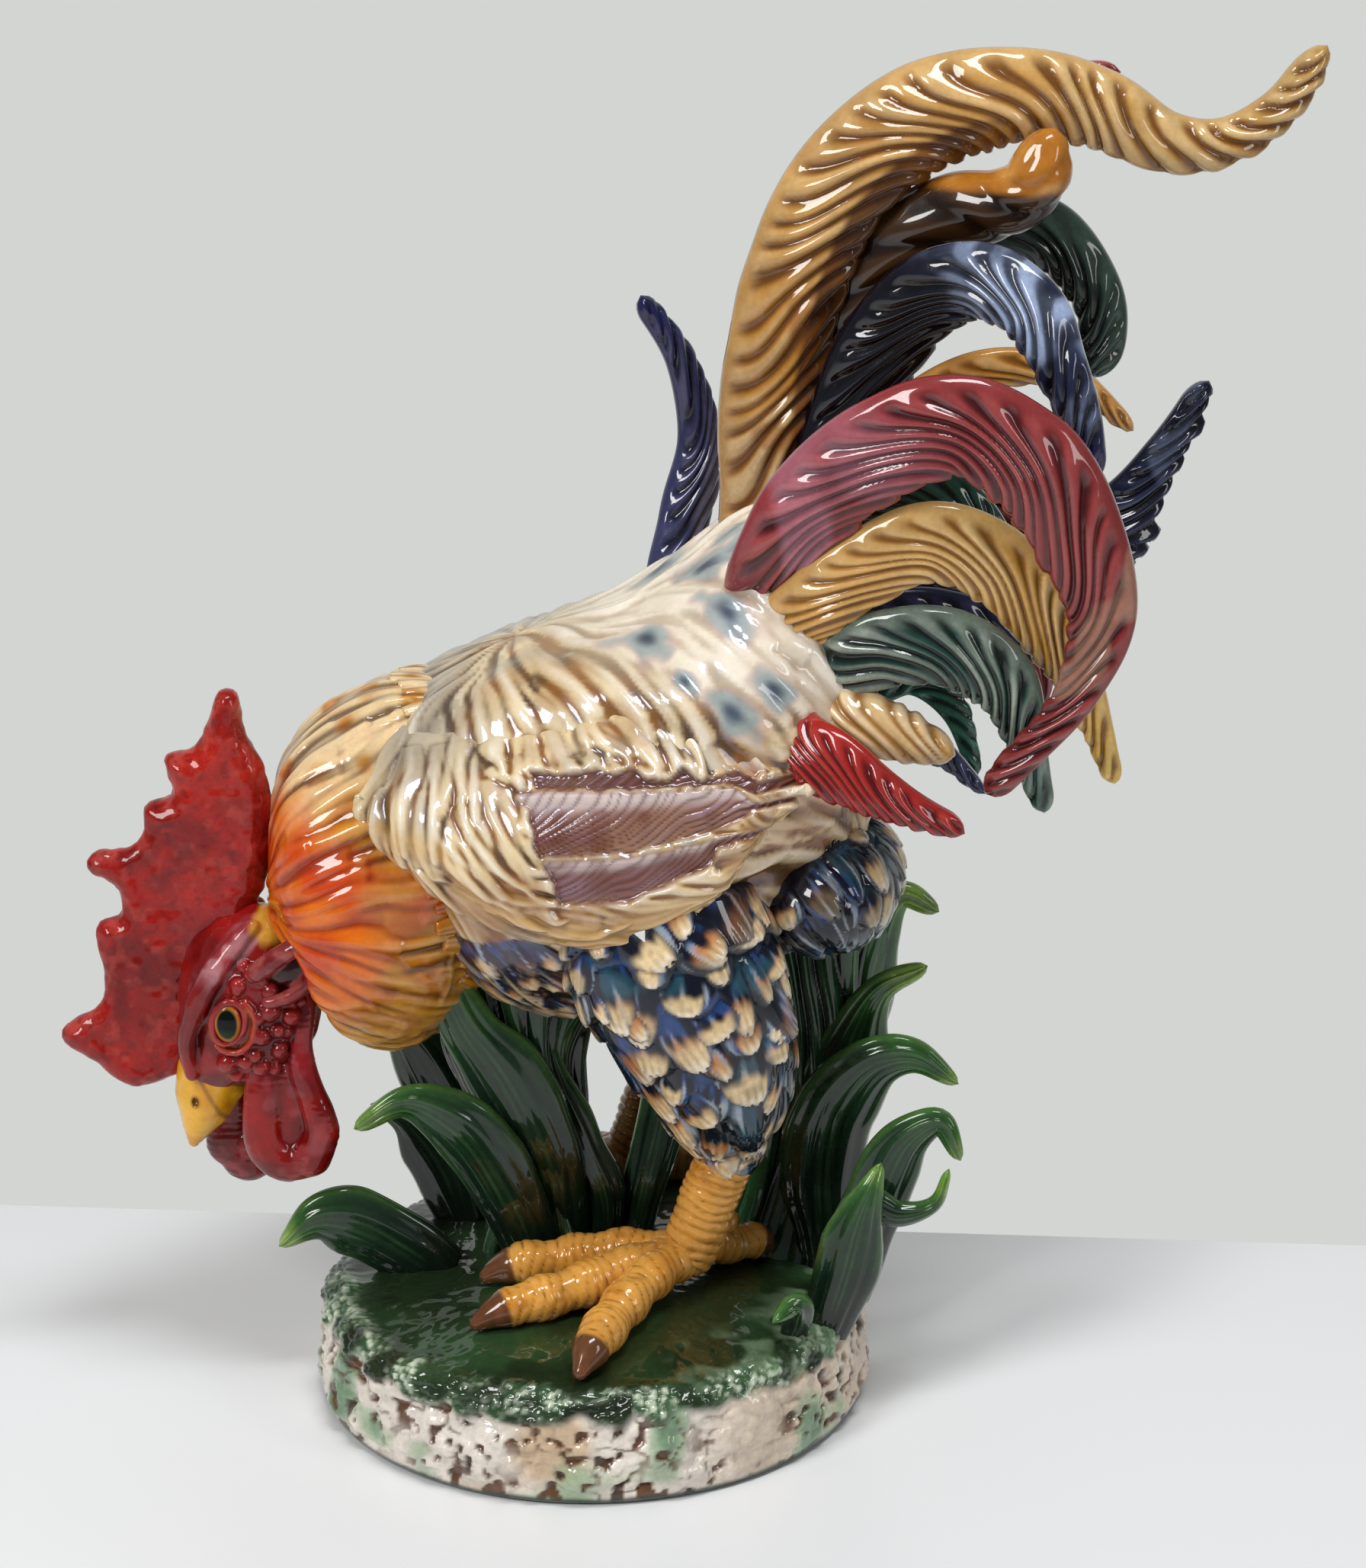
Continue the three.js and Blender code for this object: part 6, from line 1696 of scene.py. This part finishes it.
def wattle(side, name):
    """A wattle: two rolls with a web between them."""
    far = side == "right"
    if far:
        inner = curve([(-149, -16, -2), (-152, -15, -22), (-156, -15, -40), (-157, -16, -54)], 16)
        widths = np.interp(np.linspace(0, 1, 16), [0, 0.5, 1], [7, 9.5, 11.0])
        outer = curve([(-138, -16, 0), (-139, -15, -22), (-143, -15, -44), (-150, -16, -60)], 16)
        widths2 = np.interp(np.linspace(0, 1, 16), [0, 0.5, 1], [7, 8.5, 12.0])
    else:
        inner = curve([(-141, -44, -2), (-139.5, -46, -16), (-140, -46.5, -31), (-139, -46, -43), (-130, -45, -51),
                       (-120, -46, -48)], 22)
        widths = np.interp(np.linspace(0, 1, 22), [0, 0.35, 0.7, 1], [6.4, 7.8, 9.2, 8.6])
        outer = curve([(-120, -47, -48), (-114.5, -48, -38), (-115.5, -48.5, -26), (-120, -47.5, -13), (-122.5, -46, 0),
                       (-121.5, -44, 13), (-119.5, -41, 26)], 26)
        widths2 = np.interp(np.linspace(0, 1, 26), [0, 0.3, 0.7, 1], [8.4, 6.8, 5.2, 4.4])

    def field(p):
        a, b = rod(p, inner, widths, 1.25), rod(p, outer, widths2, 1.1)
        d = blend([a, b], 1.2)
        web = ball(p, (-149, -15, -38), (12, 6, 26)) if far else ball(p, (-130, -44, -28), (11, 4.5, 24))
        d = blend([d, web], 2.0)
        lines = np.sin(p[..., 2] * 2.1 + 2.5 * noise(p, 11.0, 65))
        return d - 0.13 * lines * clouds(p, 9.0, 66, 0.0, 0.4) - 0.5 * noise(p, 8.0, 67)

    def paint(p):
        crease = creases(p, field, 2.0)[0]
        colour = between("#740808", "#90110c", clouds(p, 10.0, 68, -0.2, 0.5))
        # Painted shade: the far wattle is darkened.
        if far:
            colour = colour * 0.72
        # Painted highlights: pale speckles for the broken gloss.
        colour = tint(colour, "#a84c50", clouds(p, 5.0, 69, 0.15, 0.6) * 0.4)
        top = smooth(p[:, 2], -22, -4)
        colour = tint(colour, "#8c2c38", top * 0.3)
        # Painted shade in the creases.
        return tint(colour, "#43090f", crease * 0.85), crease * 0.8

    low_y, high_y = (-34, 2) if far else (-64, -30)
    lump(name + "_looks", (-178, low_y, -80), (-100, high_y, 34), 1.0, field, paint, FACE_GLAZE, (name,))


# Legs and feet

def mound_top(x, y):
    """How high the mound's top lies at a place."""
    return GROUND - MOUND_CROWN * (math.hypot(x, y - MOUND_Y) / MOUND_RADIUS) ** 2


def tube(points, sizes):
    """A round bar along a path, with its arc length and facing; sizes are (share of the way, radius)."""
    around, step = 56, 0.75
    length = path(points, 40)[2]
    rows = max(20, int(length / step))
    centre, along, length = path(points, rows)
    t = np.linspace(0, 1, rows)
    radius = np.interp(t, [s[0] for s in sizes], [s[1] for s in sizes])
    relax(radius, 4)
    close = np.minimum(1, np.sqrt(np.maximum(1 - np.clip(1 - t * length / (radius[0] * 0.8), 0, 1) ** 2, 0.002)))
    close = close * np.sqrt(np.maximum(1 - np.clip(1 - (1 - t) * length / (radius[-1] * 0.9), 0, 1) ** 2, 0.002))
    up = np.array([0.05, 0.02, 1.0])
    if abs(along[rows // 2, 2]) > 0.8:
        up = np.array([0.3, -1.0, 0.1])
    side = np.cross(along, up)
    side /= np.linalg.norm(side, axis=1, keepdims=True)
    top = np.cross(side, along)
    turn = turns(around)
    r = (radius * close)[:, None]
    points = (centre[:, None] + side[:, None] * (r * np.cos(turn))[..., None]
              + top[:, None] * (r * np.sin(turn))[..., None])
    return points, (t * length)[:, None] + 0 * turn, np.sin(turn) + 0 * t[:, None]


def banded(points, arc, face, pitch, depth, seed, claw=0.0, shade=1.0, knuckles=0.0):
    """Rings of scutes pressed into a bar of the leg, with its colours."""
    length = arc.max()
    normals = grid_normals(points)
    phase = arc / pitch + 0.4 * face + 0.5 * noise(points, 11.0, seed)
    bars = ridge(phase, 0.35)
    nail = smooth(arc, length - claw - 1, length - claw + 1) if claw else arc * 0
    swell = 0.8 * np.sin(arc / max(knuckles, 1) * 2 * np.pi) * (knuckles > 0) * (1 - nail)
    height = depth * (bars - 0.8) * (1 - nail) + 0.35 * noise(points, 7.0, seed + 1) + swell
    points = points + normals * height[..., None]
    colour = between("#e2a044", "#d08a2c", clouds(points, 12.0, seed + 2, -0.2, 0.5))
    # Painted highlights on the crests of the scutes.
    colour = tint(colour, "#e6b060", smooth(bars, 0.8, 1.0) * 0.3)
    # Painted shade: dark brown in the grooves between the scutes.
    deep = (1 - smooth(bars, 0.15, 0.62)) * (1 - nail)
    colour = tint(colour, "#643610", deep * 0.8 * (0.55 + 0.45 * clouds(points, 9.0, seed + 5, -0.4, 0.3)))
    blotch = smooth(noise(points, 5.0, seed + 3, 2), 0.25, 0.6)
    colour = tint(colour, "#8f5516", blotch * 0.45)
    colour = tint(colour, "#5b3420", nail * 0.95)
    colour = tint(colour, "#7d4a2c", nail * clouds(points, 4.0, seed + 4, 0, 0.5) * 0.6)
    return close_ends(points, colour * shade, np.clip(deep, 0, 1) * 0.7)


TOES = {"left": [(-43, -84), (-88, -44), (-86, -4), (38, 30)], "right": [(-64, -38), (-76, -4), (-56, 26), (34, 8)]}


def foot(side, name):
    """A shank with its four toes and spur, each a bar of ringed scutes."""
    sign, forward = (-1, 0) if side == "left" else (1, 26)
    y = BODY_Y + sign * 54
    ankle_x = 40 - forward
    shade = 1.0 if side == "left" else 0.62
    swing = -forward
    knee = bird([66 + swing, sign * 58, -20])
    top = bird([70 + swing, sign * 58, 2])
    ankle = np.array([ankle_x, y, mound_top(ankle_x, y) + 12])
    parts = [banded(*tube([top, knee, (knee + ankle) / 2, ankle + [1, 0, 2], ankle + [-5, 0, -4]],
                          [(0, 13.5), (0.5, 12.5), (0.8, 12.5), (1, 12)]), 4.7, 1.6, 400, shade=shade)]
    for i, (dx, dy) in enumerate(TOES[side]):
        run = math.hypot(dx, dy)
        chain = [ankle + [0, 0, 1]]
        for share, height in ((0.3, 11.5), (0.62, 9.6), (0.86, 8.4), (1.02, 3.6)):
            x, yy = ankle_x + dx * share, y + dy * share
            bow = 3.5 * math.sin(share * math.pi) * (1 if i % 2 else -1)
            x, yy = x - dy / run * bow, yy + dx / run * bow
            chain.append([x, yy, mound_top(x, yy) + height + (2.0 if share < 0.5 else 0)])
        girth = 9.6 if run > 60 else 9.0
        sizes = [(0, girth), (0.45, girth), (0.8, girth * 0.94), (0.86, girth * 0.82), (1, 2.0)]
        parts.append(banded(*tube(chain, sizes), 4.8, 0.8, 410 + i * 7, claw=run * 0.14 + 3, shade=shade, knuckles=21))
    spur_tip = np.array([ankle_x + 22, y - sign * 18, mound_top(ankle_x + 22, y - sign * 18) + 22])
    spur_root = ankle * 0.78 + knee * 0.22
    parts.append(banded(*tube([spur_root, (spur_root * 0.5 + spur_tip * 0.5) + [0, 0, 1.0], spur_tip],
                              [(0, 8), (0.5, 6.6), (0.85, 5.2), (1, 2.6)]), 5.2, 0.9, 450, claw=4, shade=shade))
    emit(name + "_looks", parts, LEG_GLAZE, (name,))


# The table, the lamps, the room and the camera

TABLE_REACH = 3
TABLE_SLOPE = -0.069
TABLE_THICKNESS = 0.03
TABLE_BACK = ((-0.326, 0.1635), (0.324, 0.1185))
LAMP_AIM = (0, 0, 0.25)
ROOM_LIGHT = 0.17
CAMERA_PLACE = (SHIFT[0] / MM + 0.0396, (MOUND_Y + SHIFT[1]) / MM - 1.532, 0.801)
CAMERA_TILT = 71
CAMERA_LENS = 89.26


def pale(name, colour, rough, grain):
    """A plain surface with a faint mottle."""
    material = bpy.data.materials.new(name)
    material.use_nodes = True
    tree = material.node_tree
    shader = tree.nodes["Principled BSDF"]
    cloud = tree.nodes.new("ShaderNodeTexNoise")
    cloud.inputs["Scale"].default_value = grain
    tone = tree.nodes.new("ShaderNodeMix")
    tone.data_type = "RGBA"
    tone.inputs[6].default_value = tuple(rgb(colour)) + (1,)
    tone.inputs[7].default_value = tuple(rgb(colour) * 0.97) + (1,)
    tree.links.new(cloud.outputs["Fac"], tone.inputs["Factor"])
    tree.links.new(tone.outputs[2], shader.inputs["Base Color"])
    shader.inputs["Roughness"].default_value = rough
    return material


def table(scene):
    """The white table top, whose back edge runs as in the photo."""
    left, right = TABLE_BACK
    reach = TABLE_REACH
    corners = [(-reach, -reach), (reach, -reach), (reach, right[1] + (reach - right[0]) * TABLE_SLOPE),
               (-reach, left[1] + (-reach - left[0]) * TABLE_SLOPE)]
    mesh = bpy.data.meshes.new("table_top")
    mesh.from_pydata([(x, y, z) for z in (0, -TABLE_THICKNESS) for x, y in corners], [],
                     [(0, 1, 2, 3), (7, 6, 5, 4), (0, 4, 5, 1), (1, 5, 6, 2), (2, 6, 7, 3), (3, 7, 4, 0)])
    mesh.materials.append(pale("table_white", "#f5f6f8", 0.35, 3.0))
    top = bpy.data.objects.new("table_top", mesh)
    scene.collection.objects.link(top)


def lamp(scene, name, place, size, watts, colour):
    """A soft lamp aimed at the bird."""
    data = bpy.data.lights.new(name, "AREA")
    data.shape = "RECTANGLE"
    data.size, data.size_y = size
    data.energy = watts
    data.color = colour
    obj = bpy.data.objects.new(name, data)
    obj.location = place
    direction = np.array(LAMP_AIM) - np.array(place)
    obj.rotation_euler = Vector(direction).to_track_quat("-Z", "Y").to_euler()
    scene.collection.objects.link(obj)


def room(scene):
    """Even grey light; the camera sees the wall's colour, and so does whatever mirrors the room behind the bird."""
    world = bpy.data.worlds.new("room")
    scene.world = world
    world.use_nodes = True
    tree = world.node_tree
    new, link = tree.nodes.new, tree.links.new
    background = tree.nodes["Background"]
    background.inputs["Color"].default_value = (0.9, 0.91, 0.93, 1)
    background.inputs["Strength"].default_value = ROOM_LIGHT
    wall = new("ShaderNodeBackground")
    wall.inputs["Color"].default_value = tuple(rgb("#d3d5d2")) + (1,)
    ray = new("ShaderNodeLightPath")
    way = new("ShaderNodeTexCoord")
    axes = new("ShaderNodeSeparateXYZ")
    behind = new("ShaderNodeMapRange")
    for socket, value in (("From Min", 0.15), ("From Max", 0.75), ("To Min", 0.0), ("To Max", 0.8)):
        behind.inputs[socket].default_value = value
    either = new("ShaderNodeMath")
    either.operation = "MAXIMUM"
    join = new("ShaderNodeMixShader")
    link(way.outputs["Generated"], axes.inputs["Vector"])
    link(axes.outputs["Y"], behind.inputs["Value"])
    link(behind.outputs["Result"], either.inputs[0])
    link(ray.outputs["Is Camera Ray"], either.inputs[1])
    link(either.outputs["Value"], join.inputs["Fac"])
    link(background.outputs["Background"], join.inputs[1])
    link(wall.outputs["Background"], join.inputs[2])
    link(join.outputs["Shader"], tree.nodes["World Output"].inputs["Surface"])


def stage():
    """A white table in a grey room, soft lamps and the camera at the photo's angle."""
    scene = bpy.context.scene
    table(scene)
    lamp(scene, "window_left", (-1.15, -1.25, 1.45), (0.55, 0.8), 22, (1.0, 0.99, 0.97))
    lamp(scene, "window_top", (0.2, -0.45, 1.9), (0.8, 0.35), 14.5, (0.97, 0.99, 1.0))
    lamp(scene, "window_right", (1.5, -1.0, 0.95), (0.35, 0.8), 5, (1.0, 0.98, 0.96))
    room(scene)
    camera = bpy.data.cameras.new("camera")
    camera.lens = CAMERA_LENS
    camera.sensor_width = 36.0
    camera.clip_end = 20
    obj = bpy.data.objects.new("camera", camera)
    obj.location = CAMERA_PLACE
    obj.rotation_euler = (math.radians(CAMERA_TILT), 0, 0)
    scene.collection.objects.link(obj)
    scene.camera = obj
    scene.view_settings.view_transform = "Standard"


stage()
mound()
clumps()
leaves()
tail()
torso()
neck()
head()
comb()
beak()
rump()
for side in SIDES:
    for build, kind in ((wing, "wing"), (thigh, "thigh"), (foot, "foot"), (eye, "eye"), (ear, "earlobe"),
                        (wattle, "wattle")):
        build(side, f"{kind}_{side}")
